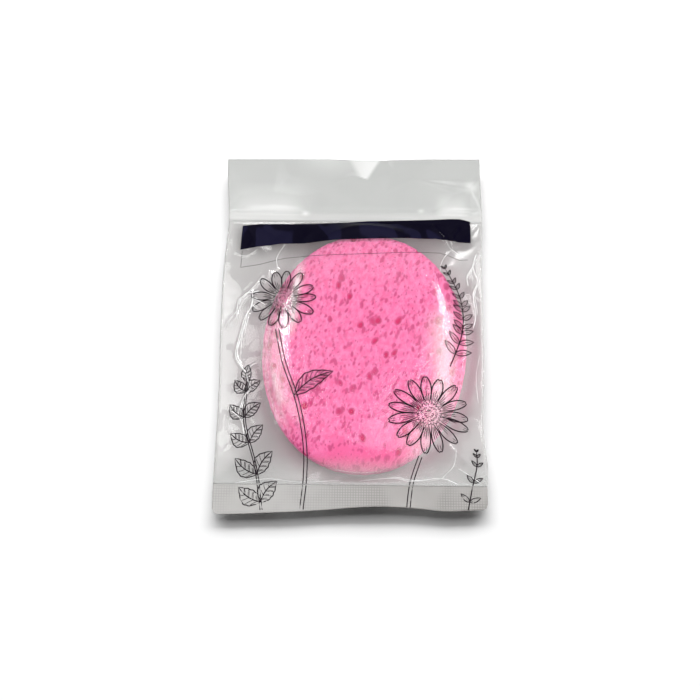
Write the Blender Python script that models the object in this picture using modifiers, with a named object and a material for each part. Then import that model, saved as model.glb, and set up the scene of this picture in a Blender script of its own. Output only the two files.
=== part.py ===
"""Facial cleansing sponge sealed in a clear film pack, lying on its back.

Metres, +Z up through the front of the pack, +Y towards its header. The origin is on the ground
under the middle of the pack. The pack is a flow wrap: one sheet of film folded round both sides of
the pad, closed by a fin weld down the back, a weld under the header and a crimped weld at the foot.
"""

import math

import bmesh
import bpy
from mathutils import Vector

MM = 0.001

# Film
FILM_WALL = 0.2 * MM
TOUCH_GAP = 0.3 * MM
HEADER_LENGTH = 29 * MM
FOOT_LENGTH = 11 * MM
WELD_LENGTH = 3 * MM
RIM_WIDTH = 0.8 * MM
SEAM_HEIGHT = 5.5 * MM

# Pad
PAD_WIDTH = 92 * MM
PAD_LENGTH = 112.5 * MM
PAD_THICKNESS = 12 * MM
PAD_EDGE_RADIUS = 3.5 * MM
PAD_FACE_RUN = 16 * MM
PAD_FACE_DROP = 3.2 * MM
PAD_CROWN = 0.5 * MM
PAD_LEFT_ROOM = 19.8 * MM
PAD_RIGHT_ROOM = 8.2 * MM
PAD_FOOT_ROOM = 4.4 * MM
PAD_HEADER_ROOM = 12.1 * MM
PAD_TURN = math.radians(-4)
PAD_SQUARENESS = 2.06
PAD_STEPS = 56
PAD_SLIDE_TO_FOOT = 0.5 * MM
PAD_SLIDE_TO_HEADER = 4.5 * MM
PAD_SIDE_PLAY = 0.3 * MM

# Joint clearances, measured from the hinge axes at the welds
HINGE_FIXED_GAP = 0.3 * MM
HINGE_MOVING_GAP = 0.45 * MM

# Fin weld down the back
FIN_WIDTH = 12 * MM
FIN_X = -1 * MM
FIN_STEP_WIDTH = 1.5 * MM

# Crimped ribs in the welds
RIB_PITCH = 1.5 * MM
RIB_DEPTH = 0.3 * MM
FOOT_BOW = 2.2 * MM
FOOT_CORNER = 2.5 * MM

# Header plies
HEADER_BOW = 1.5 * MM
HEADER_BILLOW = 1.6 * MM

# Printed band on the front film
BAND_LEFT_MARGIN = 7.5 * MM
BAND_RIGHT_MARGIN = 5 * MM
BAND_HEIGHT = 11.5 * MM
BAND_BELOW_HEADER = 5.2 * MM
BAND_WALL = 0.15 * MM

# Mesh steps round the draped film
ACROSS_STEPS = 14
ALONG_STEPS = 18
BEND_STEPS = 4
FACE_STEPS = 6
TOUCH_STEPS = 60
FLAT_RING_SHARES = (0.5, 0.95)
PAD_FACE_SHARES = (0.35, 0.7)
PAD_BASE_SHARE = 0.6
HEADER_STEPS = (20, 8)

# Heights and places that follow from the sizes above
PACK_WIDTH = PAD_LEFT_ROOM + PAD_WIDTH + PAD_RIGHT_ROOM
POUCH_LENGTH = PAD_FOOT_ROOM + PAD_LENGTH + PAD_HEADER_ROOM
PACK_LENGTH = FOOT_LENGTH + POUCH_LENGTH + HEADER_LENGTH
FOOT_AXIS_Y = FOOT_LENGTH - PACK_LENGTH / 2
HEADER_AXIS_Y = FOOT_AXIS_Y + POUCH_LENGTH
WELD_TOP_Y = HEADER_AXIS_Y - HINGE_FIXED_GAP
WELD_FOOT_Y = WELD_TOP_Y - WELD_LENGTH
FILM_FOOT_Y = FOOT_AXIS_Y + HINGE_FIXED_GAP
FILM_TOP_Y = WELD_FOOT_Y - TOUCH_GAP
FIN_WALL = 2 * FILM_WALL
FIN_ROOM = FIN_WALL + TOUCH_GAP
PAD_BASE = FIN_ROOM + FILM_WALL + TOUCH_GAP
PAD_TOP = PAD_BASE + PAD_THICKNESS
PAD_Y = FOOT_AXIS_Y + PAD_FOOT_ROOM + PAD_LENGTH / 2
PAD_X = (PAD_LEFT_ROOM - PAD_RIGHT_ROOM) / 2
PLY_RISE = (TOUCH_GAP + FILM_WALL) / 2
FIN_FOOT_Y = PAD_Y - PAD_LENGTH / 2 + PAD_EDGE_RADIUS
FIN_TOP_Y = PAD_Y + PAD_LENGTH / 2 - PAD_EDGE_RADIUS

POUCH_FILM = (0.86, 0.88, 0.90, 0.35)
HEADER_FILM = (0.80, 0.81, 0.83, 0.6)
WELD_FILM = (0.83, 0.84, 0.86, 0.7)
SPONGE_PINK = (0.93, 0.16, 0.38, 1.0)
BAND_NAVY = (0.009, 0.008, 0.028, 1.0)


def clear_scene():
    for thing in list(bpy.data.objects):
        bpy.data.objects.remove(thing, do_unlink=True)


def new_collection(name):
    made = bpy.data.collections.new(name)
    bpy.context.scene.collection.children.link(made)
    return made


def new_material(name, colour, roughness):
    """A plain finish, see-through where the colour's fourth number is under 1."""
    made = bpy.data.materials.new(name)
    made.use_nodes = True
    shader = made.node_tree.nodes["Principled BSDF"]
    shader.inputs["Base Color"].default_value = colour
    shader.inputs["Roughness"].default_value = roughness
    shader.inputs["Metallic"].default_value = 0.0
    shader.inputs["Alpha"].default_value = colour[3]
    return made


def new_empty(collection, name, place):
    made = bpy.data.objects.new(name, None)
    made.location = place
    made.empty_display_size = FOOT_LENGTH
    collection.objects.link(made)
    return made


def new_piece(collection, name, bm, material, carrier):
    """A named object from a mesh in world places, with its own origin on the carrier's."""
    bmesh.ops.translate(bm, verts=bm.verts, vec=-carrier.location)
    mesh = bpy.data.meshes.new(name)
    bm.to_mesh(mesh)
    bm.free()
    mesh.shade_smooth()
    mesh.set_sharp_from_angle(angle=math.radians(40))
    mesh.materials.append(material)
    made = bpy.data.objects.new(name, mesh)
    made.parent = carrier
    collection.objects.link(made)
    return made


def add_wall(piece, wall, side=0.0):
    """Gives an open sheet its wall: both ways from it at side 0, outwards from it at side 1."""
    solidify = piece.modifiers.new("wall", "SOLIDIFY")
    solidify.thickness = wall
    solidify.offset = side
    solidify.use_rim = True


def oval_reach(angle, half_width, half_length):
    """How far the pad's squarish, slightly turned oval reaches from its middle at this angle."""
    across = abs(math.cos(angle - PAD_TURN)) / half_width
    along = abs(math.sin(angle - PAD_TURN)) / half_length
    return (across**PAD_SQUARENESS + along**PAD_SQUARENESS) ** (-1 / PAD_SQUARENESS)


def crown_at(share):
    """Rise of the pad's face at this share of the way out from its middle to its rounded part."""
    return PAD_CROWN * (1 - share * share)


def face_arc(reach, turn, lift):
    """(distance, height) on the rounded part of the pad's face, lifted off it along its normal.

    The part is a quarter ellipse, from level at turn 0 to upright at the pad's outline.
    """
    normal_out = PAD_FACE_DROP * math.sin(turn)
    normal_up = PAD_FACE_RUN * math.cos(turn)
    length = math.hypot(normal_out, normal_up)
    out = reach - PAD_FACE_RUN + PAD_FACE_RUN * math.sin(turn)
    height = PAD_TOP - PAD_FACE_DROP + PAD_FACE_DROP * math.cos(turn)
    return out + lift * normal_out / length, height + lift * normal_up / length


def pad_profile(reach):
    """Half section of the pad as (distance, height), where its outline reaches this far out."""
    level = reach - PAD_FACE_RUN
    profile = [(level * share, PAD_TOP + crown_at(share)) for share in PAD_FACE_SHARES]
    for step in range(FACE_STEPS + 1):
        profile.append(face_arc(reach, math.pi / 2 * step / FACE_STEPS, 0.0))
    corner_out = reach - PAD_EDGE_RADIUS
    corner_foot = PAD_BASE + PAD_EDGE_RADIUS
    for step in range(BEND_STEPS + 1):
        turn = math.pi / 2 * (1 - step / BEND_STEPS)
        out = corner_out + PAD_EDGE_RADIUS * math.sin(turn)
        profile.append((out, corner_foot - PAD_EDGE_RADIUS * math.cos(turn)))
    profile.append((corner_out * PAD_BASE_SHARE, PAD_BASE))
    return profile


def pad_mesh():
    """The pad: rings of its oval outline, lofted round its edge, closed by a fan on each face."""
    bm = bmesh.new()
    middle = Vector((PAD_X, PAD_Y, 0))
    columns = []
    for step in range(PAD_STEPS):
        angle = 2 * math.pi * step / PAD_STEPS
        way = Vector((math.cos(angle), math.sin(angle), 0))
        reach = oval_reach(angle, PAD_WIDTH / 2, PAD_LENGTH / 2)
        column = []
        for out, height in pad_profile(reach):
            column.append(bm.verts.new(middle + way * out + Vector((0, 0, height))))
        columns.append(column)
    loft_round(bm, columns)
    close_fan(bm, [column[0] for column in columns], middle.x, middle.y, PAD_TOP + PAD_CROWN)
    close_fan(bm, [column[-1] for column in columns], middle.x, middle.y, PAD_BASE)
    bmesh.ops.recalc_face_normals(bm, faces=bm.faces)
    return bm


def loft_round(bm, columns):
    """Quads between each column of vertices and the next, all the way round."""
    for column, following in zip(columns, columns[1:] + columns[:1]):
        for row in range(len(column) - 1):
            bm.faces.new((column[row], column[row + 1], following[row + 1], following[row]))


def close_fan(bm, ring, x, y, height):
    """Triangles from a ring to one vertex in its middle."""
    centre = bm.verts.new((x, y, height))
    for vert, following in zip(ring, ring[1:] + ring[:1]):
        bm.faces.new((vert, following, centre))


def rim_points():
    """Points round the edge of the pouch's film, each side in equal steps, from one corner."""
    right = PACK_WIDTH / 2
    corners = [
        Vector((-right, FILM_FOOT_Y)),
        Vector((right, FILM_FOOT_Y)),
        Vector((right, FILM_TOP_Y)),
        Vector((-right, FILM_TOP_Y)),
    ]
    counts = (ACROSS_STEPS, ALONG_STEPS, ACROSS_STEPS, ALONG_STEPS)
    points = []
    for corner, following, count in zip(corners, corners[1:] + corners[:1], counts):
        points += [corner.lerp(following, step / count) for step in range(count)]
    return points


def rim_along_ray(point, way):
    """How much of the ray to this edge point lies in the flat rim."""
    depths = []
    if abs(abs(point.x) - PACK_WIDTH / 2) < RIM_WIDTH:
        depths.append(RIM_WIDTH / abs(way.x))
    if min(point.y - FILM_FOOT_Y, FILM_TOP_Y - point.y) < RIM_WIDTH:
        depths.append(RIM_WIDTH / abs(way.y))
    return max(depths)


def front_bend(outline, end_out, end_height):
    """(distance, height) where the front film lies on the pad's face, up to where it leaves it.

    The film lies like a string: it leaves the rounded face at the point from which the straight
    run to the rim is steepest, so that the run just clears the rest of the face.
    """
    lift = TOUCH_GAP + FILM_WALL / 2
    leave, steepest = 0.0, -math.inf
    for step in range(TOUCH_STEPS):
        turn = math.pi / 2 * step / TOUCH_STEPS
        out, height = face_arc(outline, turn, lift)
        slope = (height - end_height) / (end_out - out) if out < end_out else -math.inf
        if slope > steepest:
            leave, steepest = turn, slope
    return [face_arc(outline, leave * step / FACE_STEPS, lift) for step in range(FACE_STEPS + 1)]


def back_bend(outline, end_out, end_height):
    """(distance, height) where the back film rounds the pad's lower corner, up to where it leaves."""
    middle_out = outline - PAD_EDGE_RADIUS
    middle_height = PAD_BASE + PAD_EDGE_RADIUS
    radius = middle_height - FILM_WALL / 2
    run = end_out - middle_out
    drop = end_height - middle_height
    leave = math.acos(radius / math.hypot(run, drop)) - math.atan2(drop, run)
    stations = []
    for step in range(BEND_STEPS + 1):
        turn = math.pi / 2 + (leave - math.pi / 2) * step / BEND_STEPS
        out = middle_out + radius * math.cos(turn)
        stations.append((out, middle_height - radius * math.sin(turn)))
    return stations


def film_stations(outline, reach, rim, side):
    """(distance, height) along one ray: level in the middle, round the pad's edge, then to the rim.

    Side is 1 for the front film and -1 for the back film.
    """
    rim_height = SEAM_HEIGHT + side * PLY_RISE
    rim_out = reach - rim
    if side > 0:
        level = outline - PAD_FACE_RUN
        flat = PAD_TOP + TOUCH_GAP + FILM_WALL / 2
        stations = [(level * share, flat + crown_at(share)) for share in FLAT_RING_SHARES]
        stations += front_bend(outline, rim_out, rim_height)
    else:
        level = outline - PAD_EDGE_RADIUS
        stations = [(level * share, FILM_WALL / 2) for share in FLAT_RING_SHARES]
        stations += back_bend(outline, rim_out, rim_height)
    last_out, last_height = stations[-1]
    stations.append(((last_out + rim_out) / 2, (last_height + rim_height) / 2))
    stations.append((rim_out, rim_height))
    stations.append((reach, rim_height))
    return stations


def draped_sheet(side):
    """Open sheet of film from the middle of the pad out to the pouch's edge."""
    bm = bmesh.new()
    travel = PAD_SLIDE_TO_HEADER + PAD_SLIDE_TO_FOOT
    middle = Vector((PAD_X, PAD_Y + PAD_SLIDE_TO_HEADER - travel / 2))
    half_width = PAD_WIDTH / 2 + PAD_SIDE_PLAY
    half_length = PAD_LENGTH / 2 + travel / 2
    columns = []
    for point in rim_points():
        ray = point - middle
        way = ray.normalized()
        outline = oval_reach(math.atan2(way.y, way.x), half_width, half_length)
        stations = film_stations(outline, ray.length, rim_along_ray(point, way), side)
        places = [middle + way * out for out, height in stations]
        column = [
            bm.verts.new((place.x, place.y, height))
            for place, (out, height) in zip(places, stations)
        ]
        columns.append(column)
    loft_round(bm, columns)
    flat = PAD_TOP + TOUCH_GAP + FILM_WALL / 2 + PAD_CROWN if side > 0 else FILM_WALL / 2
    close_fan(bm, [column[0] for column in columns], middle.x, middle.y, flat)
    bmesh.ops.triangulate(bm, faces=bm.faces)
    bmesh.ops.recalc_face_normals(bm, faces=bm.faces)
    bm.faces.ensure_lookup_table()
    if bm.faces[0].normal.z * side < 0:
        bmesh.ops.reverse_faces(bm, faces=bm.faces)
    return bm


def slice_at(bm, axis, place, keep=0):
    """Cuts the sheet's faces along a line across X or Y. Keep 1 drops what lies past it, -1 before."""
    normal = Vector((1, 0, 0)) if axis == "X" else Vector((0, 1, 0))
    bmesh.ops.bisect_plane(
        bm,
        geom=[*bm.verts, *bm.edges, *bm.faces],
        dist=FILM_WALL / 1000,
        plane_co=normal * place,
        plane_no=normal,
        clear_outer=keep > 0,
        clear_inner=keep < 0,
    )


def stepped_back_sheet():
    """The whole back film, stepped up over the folded fin."""
    bm = draped_sheet(-1)
    low_x = FIN_X - FIN_WALL
    high_x = FIN_X + FIN_WIDTH + FIN_WALL
    for place in (low_x - FIN_STEP_WIDTH, low_x, high_x, high_x + FIN_STEP_WIDTH):
        slice_at(bm, "X", place)
    for vert in bm.verts:
        outside = max(low_x - vert.co.x, vert.co.x - high_x, 0)
        lift = FIN_ROOM * max(0, 1 - outside / FIN_STEP_WIDTH)
        vert.co.z = max(vert.co.z, lift + FILM_WALL / 2)
    return bm


def back_mesh(side):
    """Half of the back film, from the fin weld to one fold."""
    bm = stepped_back_sheet()
    slice_at(bm, "X", FIN_X + side * TOUCH_GAP / 2, keep=-side)
    return bm


def set_off(bm, rise):
    """Moves an open sheet off itself, along its own normals."""
    bm.normal_update()
    for vert, normal in [(vert, vert.normal.copy()) for vert in bm.verts]:
        vert.co += normal * rise


def band_mesh():
    """The printed band: the front film's own sheet, cut to the band and set off its outer face."""
    bm = draped_sheet(1)
    top = HEADER_AXIS_Y - BAND_BELOW_HEADER
    slice_at(bm, "X", PACK_WIDTH / 2 - BAND_RIGHT_MARGIN, keep=1)
    slice_at(bm, "X", BAND_LEFT_MARGIN - PACK_WIDTH / 2, keep=-1)
    slice_at(bm, "Y", top, keep=1)
    slice_at(bm, "Y", top - BAND_HEIGHT, keep=-1)
    set_off(bm, FILM_WALL / 2 + TOUCH_GAP)
    return bm


def corner_trim(x, radius):
    """How far a rounded corner draws the end of a strip back at this place across it."""
    into = max(0.0, abs(x) - (PACK_WIDTH / 2 - radius))
    return radius - math.sqrt(max(0.0, radius * radius - into * into))


def crimped_strip(inner_y, outer_y, bow, corner):
    """Open ribbed strip right across the pack. Its outer edge is bowed in and its corners rounded."""
    ribs = round(PACK_WIDTH / RIB_PITCH)
    bm = bmesh.new()
    bmesh.ops.create_grid(bm, x_segments=2 * ribs, y_segments=1, size=1)
    inward = 1 if inner_y > outer_y else -1
    for vert in bm.verts:
        column = round((vert.co.x + 1) * ribs)
        x = vert.co.x * PACK_WIDTH / 2
        drawn_in = bow * (1 - vert.co.x * vert.co.x) + corner_trim(x, corner)
        y = inner_y if vert.co.y * inward > 0 else outer_y + inward * drawn_in
        vert.co = (x, y, SEAM_HEIGHT + RIB_DEPTH * (column % 2 - 0.5))
    return bm


def header_sheet(side):
    """One ply of the header: its top edge bows in, and the front ply billows off the back one."""
    across, along = HEADER_STEPS
    foot = HEADER_AXIS_Y + HINGE_MOVING_GAP
    top = HEADER_AXIS_Y + HEADER_LENGTH
    billow = HEADER_BILLOW if side > 0 else 0.0
    bm = bmesh.new()
    bmesh.ops.create_grid(bm, x_segments=across, y_segments=along, size=1)
    for vert in bm.verts:
        across_share = vert.co.x
        up_share = (vert.co.y + 1) / 2
        x = across_share * PACK_WIDTH / 2
        y = foot + up_share * (top - foot - HEADER_BOW * (1 - across_share * across_share))
        hump = math.sin(math.pi * up_share) * (1 - across_share * across_share)
        vert.co = (x, y, SEAM_HEIGHT + side * PLY_RISE + billow * hump)
    return bm


def box_mesh(low, high):
    bm = bmesh.new()
    bmesh.ops.create_cube(bm, size=1)
    bmesh.ops.scale(bm, verts=bm.verts, vec=high - low)
    bmesh.ops.translate(bm, verts=bm.verts, vec=(low + high) / 2)
    return bm


def fin_mesh():
    """The part of the folded fin weld that can lift, flat under the back film."""
    low = Vector((FIN_X - FIN_WALL / 2, FIN_FOOT_Y, 0))
    high = Vector((FIN_X + FIN_WIDTH, FIN_TOP_Y, FIN_WALL))
    return box_mesh(low, high)


def fin_end_mesh(low_y, high_y):
    """An end of the fin weld, held down where the back film rises to a weld across the pack."""
    bm = stepped_back_sheet()
    slice_at(bm, "X", FIN_X - FIN_WALL / 2, keep=-1)
    slice_at(bm, "X", FIN_X + FIN_WIDTH, keep=1)
    slice_at(bm, "Y", low_y, keep=-1)
    slice_at(bm, "Y", high_y, keep=1)
    set_off(bm, FILM_WALL / 2 + TOUCH_GAP)
    return bm


def header_fin_mesh():
    """The fin weld where it runs up the back of the header."""
    high_z = SEAM_HEIGHT - PLY_RISE - FILM_WALL / 2 - TOUCH_GAP
    low = Vector((FIN_X, HEADER_AXIS_Y + HINGE_MOVING_GAP, high_z - FIN_WALL))
    high = Vector((FIN_X + FIN_WIDTH, HEADER_AXIS_Y + HEADER_LENGTH - HEADER_BOW, high_z))
    return box_mesh(low, high)


def build():
    clear_scene()
    parts = new_collection("packed_facial_sponge")
    pouch = new_empty(parts, "pouch_carrier", (0, 0, 0))
    header = new_empty(parts, "header_axis", (0, HEADER_AXIS_Y, SEAM_HEIGHT))
    foot = new_empty(parts, "foot_axis", (0, FOOT_AXIS_Y, SEAM_HEIGHT))
    fin = new_empty(parts, "fin_axis", (FIN_X, 0, FIN_WALL / 2))
    slide = new_empty(parts, "pad_slide", (PAD_X, PAD_Y, PAD_BASE + PAD_THICKNESS / 2))

    pouch_film = new_material("pouch_film", POUCH_FILM, 0.12)
    header_film = new_material("header_film", HEADER_FILM, 0.3)
    weld_film = new_material("weld_film", WELD_FILM, 0.35)
    sponge_pink = new_material("sponge_pink", SPONGE_PINK, 0.9)
    band_navy = new_material("band_navy", BAND_NAVY, 0.15)

    new_piece(parts, "sponge", pad_mesh(), sponge_pink, slide)
    add_wall(new_piece(parts, "front_film", draped_sheet(1), pouch_film, pouch), FILM_WALL)
    add_wall(new_piece(parts, "back_film_left", back_mesh(-1), pouch_film, pouch), FILM_WALL)
    add_wall(new_piece(parts, "back_film_right", back_mesh(1), pouch_film, pouch), FILM_WALL)
    new_piece(parts, "fin_seal", fin_mesh(), weld_film, fin)
    foot_end = fin_end_mesh(FILM_FOOT_Y + RIM_WIDTH, FIN_FOOT_Y - TOUCH_GAP)
    add_wall(new_piece(parts, "fin_end_foot", foot_end, weld_film, pouch), FIN_WALL, 1.0)
    header_end = fin_end_mesh(FIN_TOP_Y + TOUCH_GAP, FILM_TOP_Y - RIM_WIDTH)
    add_wall(new_piece(parts, "fin_end_header", header_end, weld_film, pouch), FIN_WALL, 1.0)

    weld = crimped_strip(WELD_FOOT_Y, WELD_TOP_Y, 0.0, 0.0)
    add_wall(new_piece(parts, "top_seal", weld, weld_film, pouch), 2 * FILM_WALL)
    foot_strip = crimped_strip(
        FOOT_AXIS_Y - HINGE_MOVING_GAP, FOOT_AXIS_Y - FOOT_LENGTH, FOOT_BOW, FOOT_CORNER
    )
    add_wall(new_piece(parts, "bottom_seal", foot_strip, weld_film, foot), 2 * FILM_WALL)

    add_wall(new_piece(parts, "header_front", header_sheet(1), header_film, header), FILM_WALL)
    add_wall(new_piece(parts, "header_back", header_sheet(-1), header_film, header), FILM_WALL)
    new_piece(parts, "header_fin", header_fin_mesh(), weld_film, header)
    add_wall(new_piece(parts, "printed_band", band_mesh(), band_navy, pouch), BAND_WALL, 1.0)


build()
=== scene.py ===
"""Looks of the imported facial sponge: a pink sponge in a clear flow-wrap pack with a milky header.

Metres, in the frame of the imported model: +X across the pack, +Y towards its header, +Z up. Tables of
places and half widths are in millimetres.
"""

import math
import random

import bpy
import numpy as np
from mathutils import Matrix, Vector, geometry, kdtree


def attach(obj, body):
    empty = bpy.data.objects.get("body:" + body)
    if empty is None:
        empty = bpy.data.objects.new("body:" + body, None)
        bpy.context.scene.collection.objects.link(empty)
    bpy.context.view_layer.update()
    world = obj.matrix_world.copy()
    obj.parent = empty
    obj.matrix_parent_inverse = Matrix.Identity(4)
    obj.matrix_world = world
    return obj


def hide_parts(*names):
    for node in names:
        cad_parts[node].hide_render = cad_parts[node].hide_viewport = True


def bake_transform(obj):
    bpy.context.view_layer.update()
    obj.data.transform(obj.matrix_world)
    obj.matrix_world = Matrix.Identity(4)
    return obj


MM = 0.001

# Pack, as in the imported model
HALF_WIDTH = 60 * MM
FOOT_AXIS_Y = -73.5 * MM
FOOT_END_Y = -84.5 * MM
HEADER_AXIS_Y = 55.5 * MM
HEADER_END_Y = 84.5 * MM
WELD_FOOT_Y = 52.2 * MM
FILM_TOP_Y = 51.9 * MM
FILM_FOOT_Y = -73.2 * MM
FILM_WALL = 0.2 * MM
SEAM_HEIGHT = 5.5 * MM
RIM_WIDTH = 0.8 * MM
PLY_RISE = 0.25 * MM
WELD_RISE = 0.11 * MM
FOLD_RISE = 0.1 * MM
FIN_LOW_X = -1.4 * MM
FIN_HIGH_X = 11.4 * MM
FIN_LIFT = 0.7 * MM
FIN_RAMP = 1.5 * MM

# Pad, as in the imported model
PAD_PLACE = (5.8 * MM, -12.85 * MM)
PAD_HALF = (46 * MM, 56.25 * MM)
PAD_TURN = math.radians(-4)
PAD_SQUARENESS = 2.06
PAD_BASE = 1.2 * MM
PAD_TOP = 13.2 * MM
PAD_CROWN = 0.5 * MM
PAD_SLIDE = (-0.5 * MM, 4.5 * MM)
PAD_CLEARANCE = 0.3 * MM
EDGE_RUN = 16 * MM
EDGE_DROP = 3.2 * MM
FOOT_EDGE_RADIUS = 3.5 * MM

# The pad's surface: its pores, its cut face, and the patch by its foot where shade is painted darker
PORE_COUNT = 2100
CUT_DEPTH = 0.35 * MM
CUT_GRAIN = 1.6 * MM
FOOT_SHADE_PLACE = (5.5 * MM, -65.0 * MM)
FOOT_SHADE_HALF = (22 * MM, 9.5 * MM)
FOOT_SHADE_STRENGTH = 0.62

# Ribs of the weld under the header, and the crimp of the foot
WELD_RIB_PITCH = 1.5 * MM
WELD_RIB_DEPTH = 0.08 * MM
CRIMP_PITCH = (1.0 * MM, 1.4 * MM)
CRIMP_DEPTH = 0.07 * MM
CRIMP_WEAVE = 1.15 * MM
FOOT_CORNER = 2.5

# Meshes
WEB_STEP = 0.65 * MM
BACK_STEP = 1.5 * MM
SEAL_STEP = 0.5 * MM
SEAL_ROWS = 22
BAND_FACES = (214, 18)
BAND_WALL = 0.04 * MM
PAD_VOXEL = 0.46 * MM
PRINT_LIFT = 0.06 * MM
STROKE_LIFT = 0.02 * MM
STROKE_THICKNESS = 0.25
SEED = 20

WHITE = (1, 1, 1, 1)


def pick(piece=None):
    """Selects this piece alone and makes it active, or selects nothing."""
    bpy.ops.object.select_all(action="DESELECT")
    if piece:
        piece.select_set(True)
        bpy.context.view_layer.objects.active = piece


def apply_all(piece):
    """Applies every modifier on a piece, in order."""
    pick(piece)
    for modifier in list(piece.modifiers):
        bpy.ops.object.modifier_apply(modifier=modifier.name)


def read_places(piece):
    places = np.zeros(len(piece.data.vertices) * 3)
    piece.data.vertices.foreach_get("co", places)
    return places.reshape(-1, 3)


def write_places(piece, places):
    piece.data.vertices.foreach_set("co", np.ascontiguousarray(places, float).ravel())
    piece.data.update()


def read_normals(piece):
    normals = np.zeros(len(piece.data.vertices) * 3)
    piece.data.vertex_normals.foreach_get("vector", normals)
    return normals.reshape(-1, 3)


def smoothstep(low, high, value):
    share = np.clip((value - low) / (high - low), 0, 1)
    return share * share * (3 - 2 * share)


def hill(value, middle, half):
    """A soft hill of height 1 on this middle, this wide to each side."""
    return np.exp(-(((value - middle) / half) ** 2))


def fade_ends(share, run):
    """1 along a line, falling to 0 over this share of it at each end."""
    return smoothstep(0, run, share) * smoothstep(1, 1 - run, share)


def flat_grid(name, low, high, counts):
    """A flat grid primitive between two corners, with this many faces along each side."""
    pick()
    bpy.ops.mesh.primitive_grid_add(
        x_subdivisions=counts[0], y_subdivisions=counts[1], size=1, location=(0, 0, 0)
    )
    piece = bpy.context.object
    piece.name = name
    places = read_places(piece)
    for axis in (0, 1):
        places[:, axis] = low[axis] + (places[:, axis] + 0.5) * (high[axis] - low[axis])
    write_places(piece, places)
    return piece


def paint(piece, name, values):
    """Paints a value on each point of a piece, for its finish to read."""
    painted = piece.data.attributes.new(name, "FLOAT", "POINT")
    painted.data.foreach_set("value", np.asarray(values, np.float32))


def dress(piece, material):
    piece.data.materials.clear()
    piece.data.materials.append(material)


def finish_sheet(piece, material, wall, offset=0.0):
    """Gives an open sheet its closed wall, smooth shading and its finish."""
    solidify = piece.modifiers.new("wall", "SOLIDIFY")
    solidify.thickness = wall
    solidify.offset = offset
    solidify.use_rim = True
    apply_all(piece)
    bpy.ops.object.shade_smooth()
    dress(piece, material)


# Finishes


class Signal:
    """A socket in a finish, on which Python's arithmetic adds Math nodes."""

    def __init__(self, finish, socket):
        self.finish = finish
        self.socket = socket

    def _join(self, operation, first, second=0.0):
        return self.finish.node("ShaderNodeMath", {0: first, 1: second}, operation=operation)

    def __add__(self, other):
        return self._join("ADD", self, other)

    def __sub__(self, other):
        return self._join("SUBTRACT", self, other)

    def __rsub__(self, other):
        return self._join("SUBTRACT", other, self)

    def __mul__(self, other):
        return self._join("MULTIPLY", self, other)

    def __pow__(self, other):
        return self._join("POWER", self, other)

    def sine(self):
        return self._join("SINE", self)

    def at_least(self, other):
        return self._join("MAXIMUM", self, other)

    def clipped(self, low, high):
        return self._join("MINIMUM", self.at_least(low), high)

    def rise(self, low, high):
        """0 below low, 1 above high, smooth between."""
        values = {"Value": self, "From Min": low, "From Max": high}
        return self.finish.node("ShaderNodeMapRange", values, interpolation_type="SMOOTHSTEP")

    __radd__ = __add__
    __rmul__ = __mul__


class Finish:
    """The nodes of a material or of the world, written one by one."""

    def __init__(self, holder):
        holder.use_nodes = True
        self.holder = holder
        self.tree = holder.node_tree
        self.tree.nodes.clear()

    def node(self, kind, sockets=None, output=0, **settings):
        """Adds a node with these settings, and these values or links on its sockets."""
        made = self.tree.nodes.new(kind)
        for key, value in settings.items():
            setattr(made, key, value)
        for key, value in (sockets or {}).items():
            if isinstance(value, Signal):
                self.tree.links.new(value.socket, made.inputs[key])
            else:
                made.inputs[key].default_value = value
        return Signal(self, made.outputs[output])

    def places(self):
        """Object coordinates."""
        return self.node("ShaderNodeTexCoord", output=3)

    def noise(self, places, scale, detail=3.0, roughness=0.5, distortion=0.0):
        values = {"Vector": places, "Scale": scale, "Detail": detail}
        return self.node("ShaderNodeTexNoise", {**values, "Roughness": roughness, "Distortion": distortion})

    def stretched(self, places, scale):
        return self.node("ShaderNodeMapping", {"Vector": places, "Scale": scale})

    def grained(self, places, length, turn):
        """Coordinates in which what is drawn comes out longer along a turned Y."""
        values = {"Vector": places, "Rotation": (0.0, 0.0, turn), "Scale": (1.0, length, 1.0)}
        return self.node("ShaderNodeMapping", values, vector_type="TEXTURE")

    def cells(self, places, scale):
        """Distance to the nearest of many scattered points."""
        return self.node("ShaderNodeTexVoronoi", {"Vector": places, "Scale": scale})

    def blend(self, share, first, second):
        """Mixes two colours."""
        return self.node("ShaderNodeMix", {0: share, 6: first, 7: second}, output=2, data_type="RGBA")

    def painted(self, name):
        """A value painted on the piece's points."""
        return self.node("ShaderNodeAttribute", output=2, attribute_name=name)

    def bump(self, height, distance):
        return self.node("ShaderNodeBump", {"Strength": 1.0, "Distance": distance, "Height": height})

    def crossed_lines(self, places, pitch):
        """1 on a grid of fine lines across X and Y, 0 between them."""
        parts = self.node("ShaderNodeSeparateXYZ", {0: places}).socket.node.outputs
        turn = 2 * math.pi / pitch
        across, along = [(Signal(self, part) * turn).sine().rise(0.3, 0.95) for part in parts[:2]]
        return (across + along).clipped(0.0, 1.0)

    def see_through(self, colour):
        return self.node("ShaderNodeBsdfTransparent", {"Color": colour})

    def gloss(self, roughness, normal):
        return self.node("ShaderNodeBsdfGlossy", {"Color": WHITE, "Roughness": roughness, "Normal": normal})

    def solid(self, colour, roughness, more=None):
        """A Principled shader of this colour and roughness, with any more of its sockets."""
        values = {"Base Color": colour, "Roughness": roughness, **(more or {})}
        return self.node("ShaderNodeBsdfPrincipled", values)

    def mixed(self, share, first, second):
        """Mixes two shaders."""
        return self.node("ShaderNodeMixShader", {0: share, 1: first, 2: second})

    def done(self, surface, kind="ShaderNodeOutputMaterial"):
        output = self.tree.nodes.new(kind)
        self.tree.links.new(surface.socket, output.inputs["Surface"])
        return self.holder


def new_finish(name):
    return Finish(bpy.data.materials.new(name))


def shaded(colour, factor):
    """A colour that is this much lighter or darker."""
    return [part * factor for part in colour[:3]] + [1]


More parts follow.
